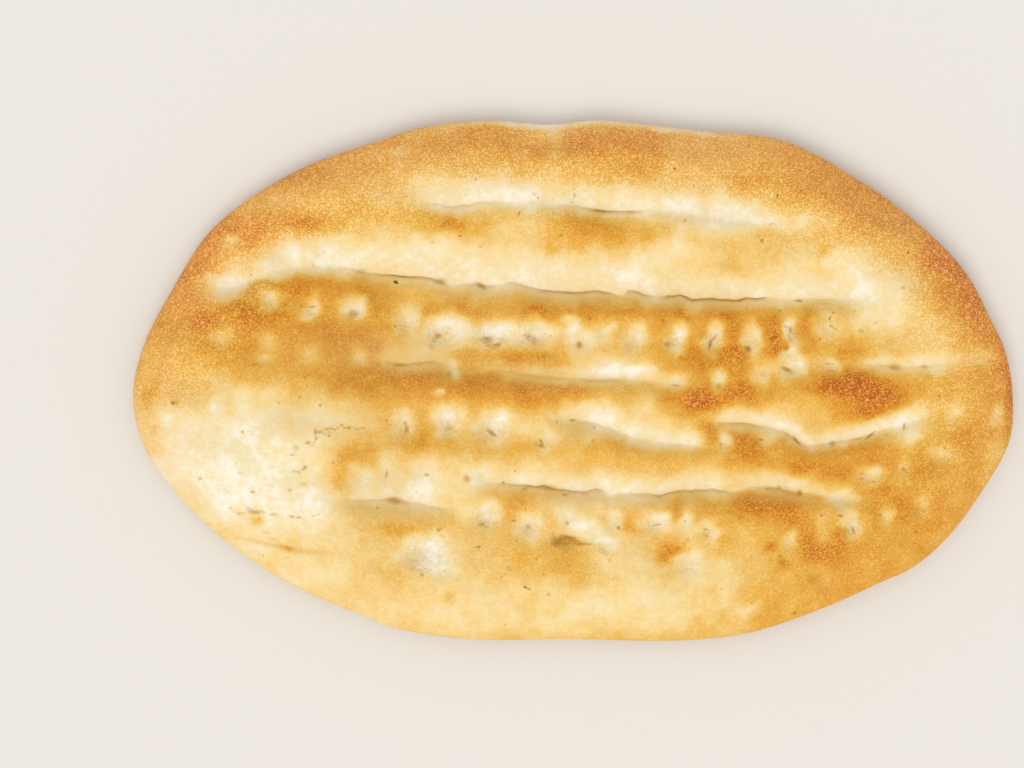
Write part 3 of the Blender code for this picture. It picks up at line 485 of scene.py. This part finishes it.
class NaanShape(bpy.types.PropertyGroup):
    """Sizes of the bread."""

    length: length_property("Length", "Longest side of the bread", (NODE_HIGH - NODE_LOW).x / MM)
    width: length_property("Width", "Width across the middle", (NODE_HIGH - NODE_LOW).y / MM)
    widest_height: length_property("Widest height", "Height of the widest line of the rim", 6.5)
    base_inset: length_property("Base inset", "How far the rim rolls in down to the base", 5.5)
    rim_reach: length_property("Rim reach", "How far in the rounding of the rim reaches", 24.0)
    rim_rise: length_property("Rim rise", "Rise from the widest line to the top of the rim", 8.5)
    crown_rise: length_property("Crown rise", "Extra height in the middle", 2.0)
    relief_reach: length_property("Relief reach", "Strip along the edge where relief fades", 13.0)
    uneven_height: length_property("Unevenness", "Height of each rolling wave of the dough", 0.16)
    crease_depth: length_property("Crease depth", "Depth of the tight line in a furrow", 0.15)
    crease_width: length_property("Crease width", "Half width of the tight line in a furrow", 0.9)
    blister_height: length_property("Blister height", "Height of the small bumps of the crust", 0.16)
    blister_size: length_property("Blister size", "Spacing of the small bumps of the crust", 2.6)
    dent_height: length_property("Dent height", "Depth of the dents in the underside", 0.5)
    rings: bpy.props.IntProperty(
        name="Rings", description="Rings of faces of the base; the top has four times as many",
        default=34, min=8,
    )


class NaanCrust(bpy.types.PropertyGroup):
    """Colours of the crust from raw dough to dark brown, and its finish."""

    dough: colour_property("Dough", "Unbrowned dough", 235, 226, 206)
    cream: colour_property("Cream", "Dough that has just set", 226, 209, 167)
    straw: colour_property("Straw", "First colour of the crust", 226, 195, 129)
    golden: colour_property("Golden", "Golden crust", 218, 167, 71)
    amber: colour_property("Amber", "Golden brown crust", 205, 140, 40)
    brown: colour_property("Brown", "Brown crust", 188, 107, 20)
    dark: colour_property("Dark", "Darkest crust", 172, 90, 18)
    # Painted shade: the grey-olive laid in creases, pricks and listed places where shade falls
    shade: colour_property("Shade", "Damp dough deep in the creases", 210, 175, 106)
    # Painted shade at the tight bottom of a crease, also the brown in the pits
    crease: colour_property("Crease", "Tight bottom of a crease", 166, 114, 0)
    fleck: colour_property("Fleck", "Pale flecks of the toasted crust", 200, 160, 116)
    rim: colour_property("Rim", "Tan cast of the far rim", 226, 152, 120)
    # Painted shade: a darker cast laid over broad parts of the crust
    dull: colour_property("Dull", "Dusty cast of the duller crust", 150, 115, 70)
    soot: colour_property("Soot", "Burnt specks", 50, 28, 8)
    roughness: number_property("Roughness", "Finish of the browned crust", 0.55, min=0.0, max=1.0)


class NaanStage(bpy.types.PropertyGroup):
    """Floor, lights and camera."""

    floor_colour: colour_property("Floor", "Colour of the floor", 216, 211, 203)
    floor_size: length_property("Floor size", "Side of the square floor", 4000.0)
    key_strength: number_property("Key strength", "Light per area of the main light", 1.15)
    key_softness: angle_property("Key softness", "How wide the main light is in the sky", 38.0)
    key_height: angle_property("Key height", "Angle of the main light above the floor", 58.0)
    key_heading: angle_property(
        "Key heading", "Turn of the main light from straight below the picture", -18.0
    )
    fill_strength: number_property("Fill strength", "Brightness of the surroundings", 0.93)
    view_width: length_property("View width", "Width of the picture at the rim's height", 349.1)
    lens: number_property("Lens", "Focal length of the camera", 70.0, unit="CAMERA")


def smooth(low, high, value):
    """Zero below low, one above high, and 3p^2 - 2p^3 of the part p of the way between."""
    part = np.clip((value - low) / (high - low), 0.0, 1.0)
    return part * part * (3.0 - 2.0 * part)


def mound(x, y, middle_x, middle_y, half_length, half_width):
    """One in the middle, falling as e to the minus squared distance, measured in half sizes."""
    return np.exp(-((x - middle_x) / half_length) ** 2 - ((y - middle_y) / half_width) ** 2)


def mounds(x, y, rows):
    """Sum of the mounds of a table, each as high as the last value of its row."""
    return sum(height * mound(x, y, *place) for *place, height in rows)


def patch(x, y, middle_x, middle_y, half_length, half_width):
    """Like a mound, but flatter on top with a brisker edge."""
    across = ((x - middle_x) / half_length) ** 2 + ((y - middle_y) / half_width) ** 2
    return np.exp(-across ** PATCH_POWER)


def part_of(place, along, across, reach):
    """A place moved by shares of its half sizes, with its half sizes times the reach."""
    middle_x, middle_y, half_length, half_width = place
    return (
        middle_x + along * half_length, middle_y + across * half_width,
        reach * half_length, reach * half_width,
    )


def hills(x, y, spacing, seed):
    """Random hills from -1 to 1: seeded heights on a square lattice, blended smoothly between."""
    heights = np.random.default_rng(seed).uniform(-1.0, 1.0, (HILL_CELLS, HILL_CELLS))
    u, v = x / spacing, y / spacing
    column, row = np.floor(u).astype(int), np.floor(v).astype(int)
    share_u, share_v = smooth(0.0, 1.0, u - column), smooth(0.0, 1.0, v - row)

    def along_row(line):
        """Heights on one lattice row, blended smoothly from each column to the next."""
        left = heights[line % HILL_CELLS, column % HILL_CELLS]
        right = heights[line % HILL_CELLS, (column + 1) % HILL_CELLS]
        return left * (1.0 - share_u) + right * share_u

    return along_row(row) * (1.0 - share_v) + along_row(row + 1) * share_v


def layered(x, y, layers):
    """Sum of layers of random hills, each of its own height, spacing and seed."""
    return sum(height * hills(x, y, spacing, seed) for height, spacing, seed in layers)


def outline_table(length, width):
    """Angle, radius and slant cosine along the closed Catmull-Rom curve through OUTLINE."""
    places = np.array(OUTLINE)
    before, here, after, beyond = (np.roll(places, shift, axis=0) for shift in (1, 0, -1, -2))
    step = np.linspace(0.0, 1.0, CURVE_STEPS, endpoint=False)[:, None, None]
    curve = 0.5 * (
        2.0 * here
        + (after - before) * step
        + (2.0 * before - 5.0 * here + 4.0 * after - beyond) * step ** 2
        + (3.0 * here - before - 3.0 * after + beyond) * step ** 3
    )
    curve = curve.transpose(1, 0, 2).reshape(-1, 2)
    low, high = curve.min(axis=0), curve.max(axis=0)
    curve = (curve - 0.5 * (low + high)) * np.array((length, width)) / (high - low)
    angle = np.arctan2(curve[:, 1], curve[:, 0])
    order = np.argsort(angle)
    angle, radius = angle[order], np.hypot(curve[:, 0], curve[:, 1])[order]
    turns = np.concatenate((angle - 2.0 * math.pi, angle, angle + 2.0 * math.pi))
    slope = np.gradient(np.tile(radius, 3), turns)[len(radius):2 * len(radius)]
    return angle, radius, 1.0 / np.sqrt(1.0 + (slope / radius) ** 2)


def crease_line(x, places):
    """Y of a crease at each x: straight runs between the places, rounded at their corners."""
    along = np.array(places)
    first, last = along[0, 0] - CREASE_OVERRUN, along[-1, 0] + CREASE_OVERRUN
    fine = np.arange(first, last, CREASE_STEP)
    line = np.pad(np.interp(fine, along[:, 0], along[:, 1]), CREASE_ROUNDING, "edge")
    weights = np.hanning(2 * CREASE_ROUNDING + 1)
    return np.interp(x, fine, np.convolve(line, weights / weights.sum(), "valid"))


def tightness(x, places):
    """How tight a crease is at each x: straight runs between the places, nought past its ends."""
    along = np.array(places)
    return np.interp(x, along[:, 0], along[:, 2], left=0.0, right=0.0)


def valley(x, y, gentle, steep, gentle_power, steep_power, places):
    """A valley of depth one along the places: e to the minus power of the distance over a bank."""
    across = y - crease_line(x, places)
    bank = np.where(across > 0.0, gentle, steep)
    power = np.where(across > 0.0, gentle_power, steep_power)
    first, last = places[0][0], places[-1][0]
    length = smooth(first - FURROW_END, first + FURROW_END, x)
    length *= 1.0 - smooth(last - FURROW_END, last + FURROW_END, x)
    return length * np.exp(-np.abs(across / bank) ** power)


def creases(x, y):
    """Distance across the nearest tight crease, and how tight that crease is there."""
    gap, tight = np.full_like(x, FAR), np.zeros_like(x)
    wander = layered(x, x, CREASE_DRIFT) + layered(x, y, CREASE_WOBBLE)
    for *_, places in FURROWS:
        across = y - crease_line(x, places) + wander
        here = tightness(x, places)
        nearer = (np.abs(across) < np.abs(gap)) & (here > 0.0)
        gap, tight = np.where(nearer, across, gap), np.where(nearer, here, tight)
    return gap, tight * (1.0 - smooth(*CREASE_FADE, np.abs(gap)))


def unevenness(x, y):
    """Sum of low rolling waves of height one, each with a seeded heading, phase and length."""
    draw = np.random.default_rng(UNEVEN_SEED)
    total = np.zeros_like(x)
    for _ in range(UNEVEN_WAVES):
        heading, phase = draw.uniform(0.0, 2.0 * math.pi, 2)
        wave = 2.0 * math.pi / draw.uniform(*UNEVEN_LENGTHS)
        total += np.sin(wave * (x * math.cos(heading) + y * math.sin(heading)) + phase)
    return total


def nearest_pit(x, y):
    """Offset from the nearest pit in its own half sizes, and that pit's darkness near it."""
    rounds = [(mid_x, mid_y, size, size, 0.0, dark) for mid_x, mid_y, size, dark in SPECKS]
    best = np.full_like(x, FAR)
    offset_u, offset_v, darkness = best.copy(), best.copy(), np.zeros_like(x)
    for middle_x, middle_y, half_length, half_width, turn, dark in (*rounds, *STROKES):
        cos, sin = math.cos(math.radians(turn)), math.sin(math.radians(turn))
        u = ((x - middle_x) * cos + (y - middle_y) * sin) / half_length
        v = ((y - middle_y) * cos - (x - middle_x) * sin) / half_width
        away = np.hypot(u, v)
        nearer = away < best
        best = np.where(nearer, away, best)
        offset_u, offset_v = np.where(nearer, u, offset_u), np.where(nearer, v, offset_v)
        outside = np.hypot(x - middle_x, y - middle_y) * (1.0 - 1.0 / np.maximum(away, 1.0))
        darkness = np.where(nearer, dark * (1.0 - smooth(*PIT_FADE, outside)), darkness)
    return offset_u, offset_v, darkness


def far_rim(inset, y, low, high):
    """One on the edge of the far side, fading out between two distances in and to the near side."""
    return (1.0 - smooth(low, high, inset)) * smooth(*NEAR_TO_FAR, y)


def graininess(brown, inset, y):
    """How coarse the grain of the crust is: most on the far rim and where it is well browned."""
    strength = GRAIN_ALL_OVER + GRAIN_ON_RIM * far_rim(inset, y, *RIM_GRAIN_FADE)
    return strength * smooth(*BAKED, brown) + GRAIN_WELL_BAKED * smooth(*WELL_BAKED, brown)


def dimpled(x, y):
    """One inside the dimples and nought outside, for the finer wrinkles there."""
    total = sum(
        min(1.0, depth / WRINKLING_DEPTH) * pale * patch(x, y, *place)
        for *place, depth, pale in DIMPLES
    )
    return np.clip(total, 0.0, 1.0)


def browning(x, y, inset):
    """How browned the top is: start and mounds, paler in furrows, dimples and dimples' painted
    highlights.
    """
    strip = smooth(*PALE_STRIP_STARTS, x) * (1.0 - smooth(*PALE_STRIP_ENDS, x)) * (y > 0.0)
    edge = strip * (1.0 - smooth(*PALE_STRIP_FADE, inset + layered(x, y, STRIP_RAGGED)))
    x = x + layered(x, y, WARP_X)
    y = y + layered(x, y, WARP_Y)
    level = BROWN_START + mounds(x, y, BROWNING)
    for *_, pale, up, down, places in FURROWS:
        level *= 1.0 - pale * valley(x, y, up, down, PALE_UP_POWER, PALE_DOWN_POWER, places)
    ragged = 1.0 + layered(x, y, DIMPLE_RAGGED)
    for *place, _, pale in DIMPLES:
        shares = pale * np.minimum(ragged, 1.0 / pale)
        level *= 1.0 - shares * patch(x, y, *part_of(place, *PALE_PATCH))
        # Painted highlight: a paler heart on the upper-right wall of each dimple, where the light
        # falls
        level *= 1.0 - HIGHLIGHT_PALENESS * pale * mound(x, y, *part_of(place, *HIGHLIGHT_HEART))
    level *= 1.0 - PALE_STRIP_PALENESS * edge
    level += layered(x, y, BROWN_CLOUDS)
    return np.minimum(level, 0.5 * (level + BROWN_KNEE))


def painted_shade_amount(x, y):
    """How much painted shade the dough gets: in the pricks, under the creases and in its own places.
    """
    total = mounds(x, y, PAINTED_SHADE)
    for *place, depth, _ in DIMPLES:
        # Painted shade in each prick, on the dimple's lower-left wall away from the light
        prick_shade = min(PRICK_SHADE * depth, PRICK_SHADE_MOST)
        total += prick_shade * mound(x, y, *part_of(place, *PRICK))
    # Painted shade on the steep bank under each crease
    for _, _, steep, *_, places in FURROWS:
        across = y - crease_line(x, places) + CREASE_SHADE_DROP * steep
        here = tightness(x, places)
        share = CREASE_SHADE * np.clip(here + CREASE_SHADE_LEAST, 0.0, 1.0) * (here > 0.0)
        total += share * np.exp(-(across / (CREASE_SHADE_REACH * steep)) ** 2)
    return np.clip(total, 0.0, 1.0)


def broad_shade_amount(x, y):
    """How much broad painted shade the crust gets: mounds in its own places."""
    return np.clip(mounds(x, y, BROAD_SHADE), 0.0, 1.0)


def top_values(x, y, inset):
    """What the crust of the top is like at each vertex, by the names of PLAIN_CRUST."""
    brown = browning(x, y, inset)
    gap, tight = creases(x, y)
    pit_u, pit_v, pit_dark = nearest_pit(x, y)
    return {
        "browning": brown, "damp": painted_shade_amount(x, y), "dull": broad_shade_amount(x, y),
        "grainy": graininess(brown, inset, y), "rim": far_rim(inset, y, *RIM_TAN_FADE),
        "under": 0.0, "dimpled": dimpled(x, y), "crease_gap": gap, "crease_tight": tight,
        "pit_u": pit_u, "pit_v": pit_v, "pit_dark": pit_dark,
    }


def relief(x, y, brown, shape):
    """Rise and fall of the top above its plain crown: swells less furrows, dimples and creases."""
    height = shape.uneven_height / MM * unevenness(x, y) + mounds(x, y, SWELLS)
    for depth, gentle, steep, *_, places in FURROWS:
        height -= depth * valley(x, y, gentle, steep, FURROW_POWER, FURROW_POWER, places)
    for *place, depth, _ in DIMPLES:
        prick = mound(x, y, *part_of(place, *PRICK))
        height -= depth * (mound(x, y, *place) + PRICK_DEPTH * prick)
    gap, tight = creases(x, y)
    height -= shape.crease_depth / MM * tight * np.exp(-(gap / (shape.crease_width / MM)) ** 2)
    spacing = shape.blister_size / MM
    rough = layered(x, y, ((1.0, spacing, 31), (0.5, 0.5 * spacing, 32)))
    share = BLISTER_RAW + BLISTER_BROWN * np.clip(brown, 0.0, 1.0)
    return height + shape.blister_height / MM * share * rough


def disc_grid(rings):
    """The unit disc as a square grid: each square ring of the grid is bent into a circle."""
    line = np.linspace(-1.0, 1.0, 2 * rings + 1)
    t, s = np.meshgrid(line, line, indexing="ij")
    wide = np.abs(s) >= np.abs(t)
    main = np.where(wide, s, t)
    share = np.where(wide, t, s) / np.where(main == 0.0, 1.0, main)
    turn = 0.25 * math.pi * share
    long_way, short_way = main * np.cos(turn), main * np.sin(turn)
    return np.where(wide, long_way, short_way), np.where(wide, short_way, long_way)


def border(rings):
    """Indices of the grid's outer vertices, counter-clockwise from a corner."""
    side = 2 * rings + 1
    index = np.arange(side * side).reshape(side, side)
    return np.concatenate((index[0], index[1:, -1], index[-1, -2::-1], index[-2:0:-1, 0]))


def grid_faces(rings, first):
    """Quads of a disc grid whose vertices start at first, facing up."""
    side = 2 * rings + 1
    corner = (np.arange(side - 1)[:, None] * side + np.arange(side - 1)).ravel() + first
    return np.column_stack((corner, corner + 1, corner + side + 1, corner + side))


def plan(rings, easing, table, shrink, length, width):
    """Places of a disc grid inside the outline: x, y, distance in from the edge and heading."""
    disc_x, disc_y = (part.ravel() for part in disc_grid(rings))
    reach = 1.0 - np.clip(1.0 - np.hypot(disc_x, disc_y), 0.0, 1.0) ** easing
    heading = np.arctan2(disc_y * width, disc_x * length)
    angle, radius, slant = table
    edge = np.interp(heading, angle, radius, period=2.0 * math.pi) - shrink
    inset = (1.0 - reach) * edge * np.interp(heading, angle, slant, period=2.0 * math.pi)
    return reach * edge * np.cos(heading), reach * edge * np.sin(heading), inset


def bread_arrays(shape):
    """Vertices, faces and crust values of the whole bread.

    The top is a height over the outline: the widest line's height, plus a quarter ellipse over the
    rim, plus the crown and relief, which fade in from the edge. Below the widest line a quarter
    ellipse rolls in to the base, and the base is a coarser disc grid with shallow dents.
    """
    length, width = shape.length / MM, shape.width / MM
    widest, roll_in = shape.widest_height / MM, shape.base_inset / MM
    table = outline_table(length, width)
    rings = TOP_FINENESS * shape.rings
    x, y, inset = plan(rings, RIM_EASING, table, 0.0, length, width)
    crust = top_values(x, y, inset)
    round_part = 1.0 - np.clip(inset / (shape.rim_reach / MM), 0.0, 1.0)
    rounding = shape.rim_rise / MM * np.sqrt(1.0 - round_part ** 2)
    crown = shape.crown_rise / MM * (1.0 - (x / length * 2.0) ** 2 - (y / width * 2.0) ** 2)
    fade = smooth(0.0, shape.relief_reach / MM, inset)
    z = widest + rounding + fade * (crown + relief(x, y, crust["browning"], shape))
    blocks, values, faces = [np.column_stack((x, y, z))], [crust], [grid_faces(rings, 0)]

    loop = border(rings)
    edge_x, edge_y = x[loop], y[loop]
    edge_crust = {name: crust[name][loop] for name in ("browning", "grainy", "rim", "dull")}
    upper, first = loop, len(x)
    for band in range(1, SIDE_BANDS + 1):
        turn = 0.5 * math.pi * band / SIDE_BANDS
        inward = 1.0 - roll_in * (1.0 - math.cos(turn)) / np.hypot(edge_x, edge_y)
        level = np.full(len(loop), widest * (1.0 - math.sin(turn)))
        blocks.append(np.column_stack((edge_x * inward, edge_y * inward, level)))
        values.append({**PLAIN_CRUST, **edge_crust, "under": band / SIDE_BANDS})
        lower = np.arange(first, first + len(loop))
        faces.append(np.column_stack((upper, lower, np.roll(lower, -1), np.roll(upper, -1))))
        upper, first = lower, first + len(loop)

    base_x, base_y, base_inset = plan(
        shape.rings, 1.0, table, roll_in + BASE_MARGIN, length, width
    )
    dent = shape.dent_height / MM * np.clip(layered(base_x, base_y, DENTS), 0.0, 1.0)
    blocks.append(np.column_stack((base_x, base_y, dent * smooth(*DENT_FADE, base_inset))))
    values.append(PLAIN_CRUST)
    faces.append(grid_faces(shape.rings, first)[:, ::-1])
    inner = border(shape.rings) + first
    fine = upper.reshape(-1, TOP_FINENESS)
    faces.append(np.column_stack((
        inner, np.roll(inner, -1), np.roll(fine[:, 0], -1), fine[:, ::-1],
    )))

    values = {
        name: np.concatenate([
            np.broadcast_to(part[name], len(block)) for part, block in zip(values, blocks)
        ])
        for name in PLAIN_CRUST
    }
    return np.concatenate(blocks) * MM, [face for part in faces for face in part.tolist()], values


class Wire:
    """One value in a material: arithmetic on it adds Math nodes."""

    def __init__(self, paint, socket):
        self.paint = paint
        self.socket = socket

    def maths(self, operation, *values):
        """A Math node on the given values."""
        return self.paint.node("ShaderNodeMath", {"operation": operation}, values)

    def __add__(self, other):
        return self.maths("ADD", self, other)

    def __sub__(self, other):
        return self.maths("SUBTRACT", self, other)

    def __rsub__(self, other):
        return self.maths("SUBTRACT", other, self)

    def __mul__(self, other):
        return self.maths("MULTIPLY", self, other)

    def __abs__(self):
        return self.maths("ABSOLUTE", self)

    __radd__ = __add__
    __rmul__ = __mul__

    def between(self, low, high):
        """Zero at low, one at high, smooth between."""
        return self.paint.node(
            "ShaderNodeMapRange", {"interpolation_type": "SMOOTHSTEP"}, (self, low, high, 0.0, 1.0)
        )


class Paint:
    """A material's node tree, built by one method for every kind of node."""

    def __init__(self, name):
        self.material = bpy.data.materials.new(name)
        self.material.use_nodes = True
        self.tree = self.material.node_tree
        self.shader = self.tree.nodes["Principled BSDF"]

    def node(self, kind, settings=None, values=(), output=0):
        """Adds a node, makes its settings, then fills or links its sockets, and gives an output."""
        made = self.tree.nodes.new(kind)
        for name, setting in (settings or {}).items():
            if name == "stops":
                while len(made.color_ramp.elements) < len(setting):
                    made.color_ramp.elements.new(0.5)
                for element, (place, colour) in zip(made.color_ramp.elements, setting):
                    element.position = place
                    element.color = colour
            else:
                setattr(made, name, setting)
        for key, value in (values.items() if isinstance(values, dict) else enumerate(values)):
            self.fill(made.inputs[key], value)
        return Wire(self, made.outputs[output])

    def fill(self, socket, value):
        """Links a wire to a socket, or sets the socket's own value."""
        if isinstance(value, Wire):
            self.tree.links.new(value.socket, socket)
        else:
            socket.default_value = value

    def noise(self, place, size, detail=2.0, roughness=0.5):
        """Noise from about -0.5 to 0.5 with features of a size in millimetres."""
        values = {"Vector": place, "Scale": 1.0 / (size * MM), "Detail": detail,
                  "Roughness": roughness}
        return self.node("ShaderNodeTexNoise", {}, values) - 0.5

    def attribute(self, name):
        """A value stored at the mesh's vertices."""
        return self.node("ShaderNodeAttribute", {"attribute_name": name}, (), "Fac")

    def mix(self, share, first, second):
        """Second colour over the first."""
        return self.node(
            "ShaderNodeMix", {"data_type": "RGBA"}, {0: share, 6: first, 7: second}, 2
        )


def crust_material(crust):
    """Crust that browns through a ramp of colours, with grain, painted shade in creases, and dark
    pits.
    """
    paint = Paint("naan crust")
    place = paint.node("ShaderNodeTexCoord", {}, (), "Object")
    brown, damp, dull, grainy, rim, under, dimple, gap, tight, pit_u, pit_v, dark = (
        paint.attribute(name) for name in PLAIN_CRUST
    )

    patchy = paint.noise(place, PATCH_SIZE, 3.0)
    mottle = paint.noise(place, MOTTLE_SIZE, 3.0, 0.6)
    grain = paint.noise(place, GRAIN_SIZE, 1.0, 0.6)
    curls = 0.6 - abs(paint.noise(place, CURL_SIZE, 1.0)).between(0.0, 0.10)
    toasted = brown.between(*TOASTED)
    lively = LIVELY - toasted * LIVELY_LOSS
    level = brown + lively * (patchy * PATCH_SHIFT + mottle * MOTTLE_SHIFT + grain * GRAIN_SHIFT)
    level = level - (grain * GRAIN_PALING + curls * CURL_PALING) * grainy
    blotch = paint.noise(place, BLOTCH_SIZE, 4.0, 0.6)
    under_level = UNDER_BROWN + blotch * UNDER_BLOTCH + mottle * UNDER_MOTTLE + grain * UNDER_GRAIN
    side = under.between(*SIDE_TURN)
    level = level * (1.0 - side) + under_level * side
    colours = (
        crust.dough, crust.cream, crust.straw, crust.golden, crust.amber, crust.brown, crust.dark,
    )
    stops = list(zip(RAMP_PLACES, colours))
    colour = paint.node("ShaderNodeValToRGB", {"stops": stops}, (level * (1.0 / RAMP_END),))
    colour = paint.mix(rim * TAN_SHARE, colour, crust.rim)
    # Broad painted shade over parts of the crust
    colour = paint.mix(dull * BROAD_SHADE_SHARE, colour, crust.dull)

    flecks = grainy * (toasted * FLECK_TOASTED + FLECK_RAW) + FLECK_ALL
    flecks = (grain * FLECK_GRAIN + curls * FLECK_CURLS) * flecks
    flecks = flecks.maths("MAXIMUM", flecks, -FLECK_DARKEN)
    flecks = paint.node(
        "ShaderNodeVectorMath", {"operation": "SCALE"}, {0: crust.fleck[:3], 3: flecks}
    )
    colour = paint.node("ShaderNodeVectorMath", {"operation": "ADD"}, (colour, flecks))

    # Painted shade in the creases, the pricks and listed places
    colour = paint.mix(damp * PAINTED_SHADE_SHARE, colour, crust.shade)
    # Painted shade along the bottom of each tight crease: a soft line with a darker core
    across = gap + grain * LINE_GRAIN + mottle * LINE_MOTTLE
    line = (1.0 - across.between(*LINE_ABOVE)) * across.between(*LINE_BELOW)
    core = 1.0 - abs(across + CORE_DROP).between(*CORE_REACH)
    line = line * tight * LINE_SHARE + core * tight.between(*CORE_TIGHT) * CORE_SHARE
    colour = paint.mix(line, colour, crust.crease)

    # Pits: real dark crumbs and burnt specks, with painted shade in their hollows
    offset = paint.node("ShaderNodeCombineXYZ", {}, (pit_u, pit_v, 0.0))
    away = paint.node("ShaderNodeVectorMath", {"operation": "LENGTH"}, (offset,), "Value")
    pit = 1.0 - (away + mottle + grain * PIT_GRAIN).between(dark * PIT_CORE, PIT_EDGE)
    colour = paint.mix(pit * dark.between(*PIT_BROWN) * PIT_BROWN_SHARE, colour, crust.crease)
    colour = paint.mix(pit * dark.between(*PIT_SOOT) * PIT_SOOT_SHARE, colour, crust.soot)

    height = mottle * MOTTLE_RISE + grain * ((toasted + 1.0) * GRAIN_RISE)
    height = height + curls * (toasted * CURL_RISE)
    wrinkles = paint.noise(place, WRINKLE_SIZE, 2.0, 0.6) * dimple * WRINKLE_RISE
    height = height + wrinkles - pit * dark * PIT_DROP
    bump = paint.node("ShaderNodeBump", {}, {"Height": height * MM, "Distance": 1.0})
    shader = paint.shader.inputs
    paint.fill(shader["Base Color"], colour)
    paint.fill(shader["Normal"], bump)
    shader["Roughness"].default_value = crust.roughness
    shader["Specular IOR Level"].default_value = CRUST_SPECULAR
    return paint.material


def plain_material(name, colour, roughness):
    """One even colour, for the floor."""
    paint = Paint(name)
    paint.shader.inputs["Base Color"].default_value = colour
    paint.shader.inputs["Roughness"].default_value = roughness
    return paint.material


class NAAN_OT_make_bread(bpy.types.Operator):
    """Bake the bread: its whole surface, its crust values and its crust material"""

    bl_idname = "naan.make_bread"
    bl_label = "Make bread"

    def execute(self, context):
        places, faces, values = bread_arrays(context.scene.naan_shape)
        mesh = bpy.data.meshes.new("naan bread")
        mesh.from_pydata(places.tolist(), [], faces)
        for name, part in values.items():
            layer = mesh.attributes.new(name, "FLOAT", "POINT")
            layer.data.foreach_set("value", part.astype(np.float32))
        mesh.shade_smooth()
        if mesh.validate(verbose=False):
            raise RuntimeError("the bread's mesh had faces that are not valid")
        mesh.materials.append(crust_material(context.scene.naan_crust))
        bread = bpy.data.objects.new("naan_bread", mesh)
        context.scene.collection.objects.link(bread)
        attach(bread, BODY)
        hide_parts(NODE)
        return {"FINISHED"}


class NAAN_OT_set_stage(bpy.types.Operator):
    """Set the floor, the soft lights and the camera straight above the bread"""

    bl_idname = "naan.set_stage"
    bl_label = "Set stage"

    def execute(self, context):
        scene = context.scene
        stage = scene.naan_stage
        self.add_floor(scene, stage)
        self.add_lights(scene, stage)
        self.add_camera(scene, stage)
        scene.view_settings.view_transform = "Standard"
        return {"FINISHED"}

    def add_floor(self, scene, stage):
        """A wide flat floor just under the base."""
        half = 0.5 * stage.floor_size
        turns = ((-1, -1), (1, -1), (1, 1), (-1, 1))
        corners = [(half * across, half * along, -FLOOR_GAP * MM) for across, along in turns]
        mesh = bpy.data.meshes.new("floor")
        mesh.from_pydata(corners, [], [(0, 1, 2, 3)])
        mesh.materials.append(plain_material("floor", stage.floor_colour, FLOOR_ROUGHNESS))
        floor = bpy.data.objects.new("floor", mesh)
        scene.collection.objects.link(floor)

    def add_lights(self, scene, stage):
        """One broad soft light low on the near left, and an even fill from all round."""
        world = bpy.data.worlds.new("fill")
        world.use_nodes = True
        background = world.node_tree.nodes["Background"]
        background.inputs["Color"].default_value = (1.0, 1.0, 1.0, 1.0)
        background.inputs["Strength"].default_value = stage.fill_strength
        scene.world = world
        lamp = bpy.data.lights.new("key", "SUN")
        lamp.energy = stage.key_strength
        lamp.angle = stage.key_softness
        key = bpy.data.objects.new("key", lamp)
        key.rotation_euler = (0.5 * math.pi - stage.key_height, 0.0, stage.key_heading)
        scene.collection.objects.link(key)

    def add_camera(self, scene, stage):
        """The picture's own view: straight down, a little left of the bread's middle."""
        lens = bpy.data.cameras.new("camera")
        lens.lens = stage.lens
        lens.sensor_width = SENSOR_WIDTH
        lens.clip_start = 0.01
        camera = bpy.data.objects.new("camera", lens)
        x, y, z = (value * MM for value in LOOKED_AT)
        camera.location = (x, y, z + stage.view_width * stage.lens / SENSOR_WIDTH)
        scene.collection.objects.link(camera)
        scene.camera = camera


class NAAN_PT_panel(bpy.types.Panel):
    """Buttons and sizes of the naan"""

    bl_label = "Naan"
    bl_idname = "NAAN_PT_panel"
    bl_space_type = "VIEW_3D"
    bl_region_type = "UI"
    bl_category = "Naan"

    def draw(self, context):
        layout = self.layout
        for group in (context.scene.naan_shape, context.scene.naan_crust, context.scene.naan_stage):
            box = layout.box()
            for name in group.bl_rna.properties.keys():
                if name not in ("rna_type", "name"):
                    box.prop(group, name)
        for operator in (NAAN_OT_make_bread, NAAN_OT_set_stage):
            layout.operator(operator.bl_idname)


CLASSES = (NaanShape, NaanCrust, NaanStage, NAAN_OT_make_bread, NAAN_OT_set_stage, NAAN_PT_panel)


def register():
    """Adds the classes and the scene's settings."""
    for item in CLASSES:
        bpy.utils.register_class(item)
    bpy.types.Scene.naan_shape = bpy.props.PointerProperty(type=NaanShape)
    bpy.types.Scene.naan_crust = bpy.props.PointerProperty(type=NaanCrust)
    bpy.types.Scene.naan_stage = bpy.props.PointerProperty(type=NaanStage)


def unregister():
    """Takes the settings and the classes away again."""
    del bpy.types.Scene.naan_stage
    del bpy.types.Scene.naan_crust
    del bpy.types.Scene.naan_shape
    for item in reversed(CLASSES):
        bpy.utils.unregister_class(item)


def main():
    """Makes the bread and the stage."""
    register()
    bpy.ops.naan.make_bread()
    bpy.ops.naan.set_stage()
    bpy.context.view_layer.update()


if __name__ == "__main__":
    main()
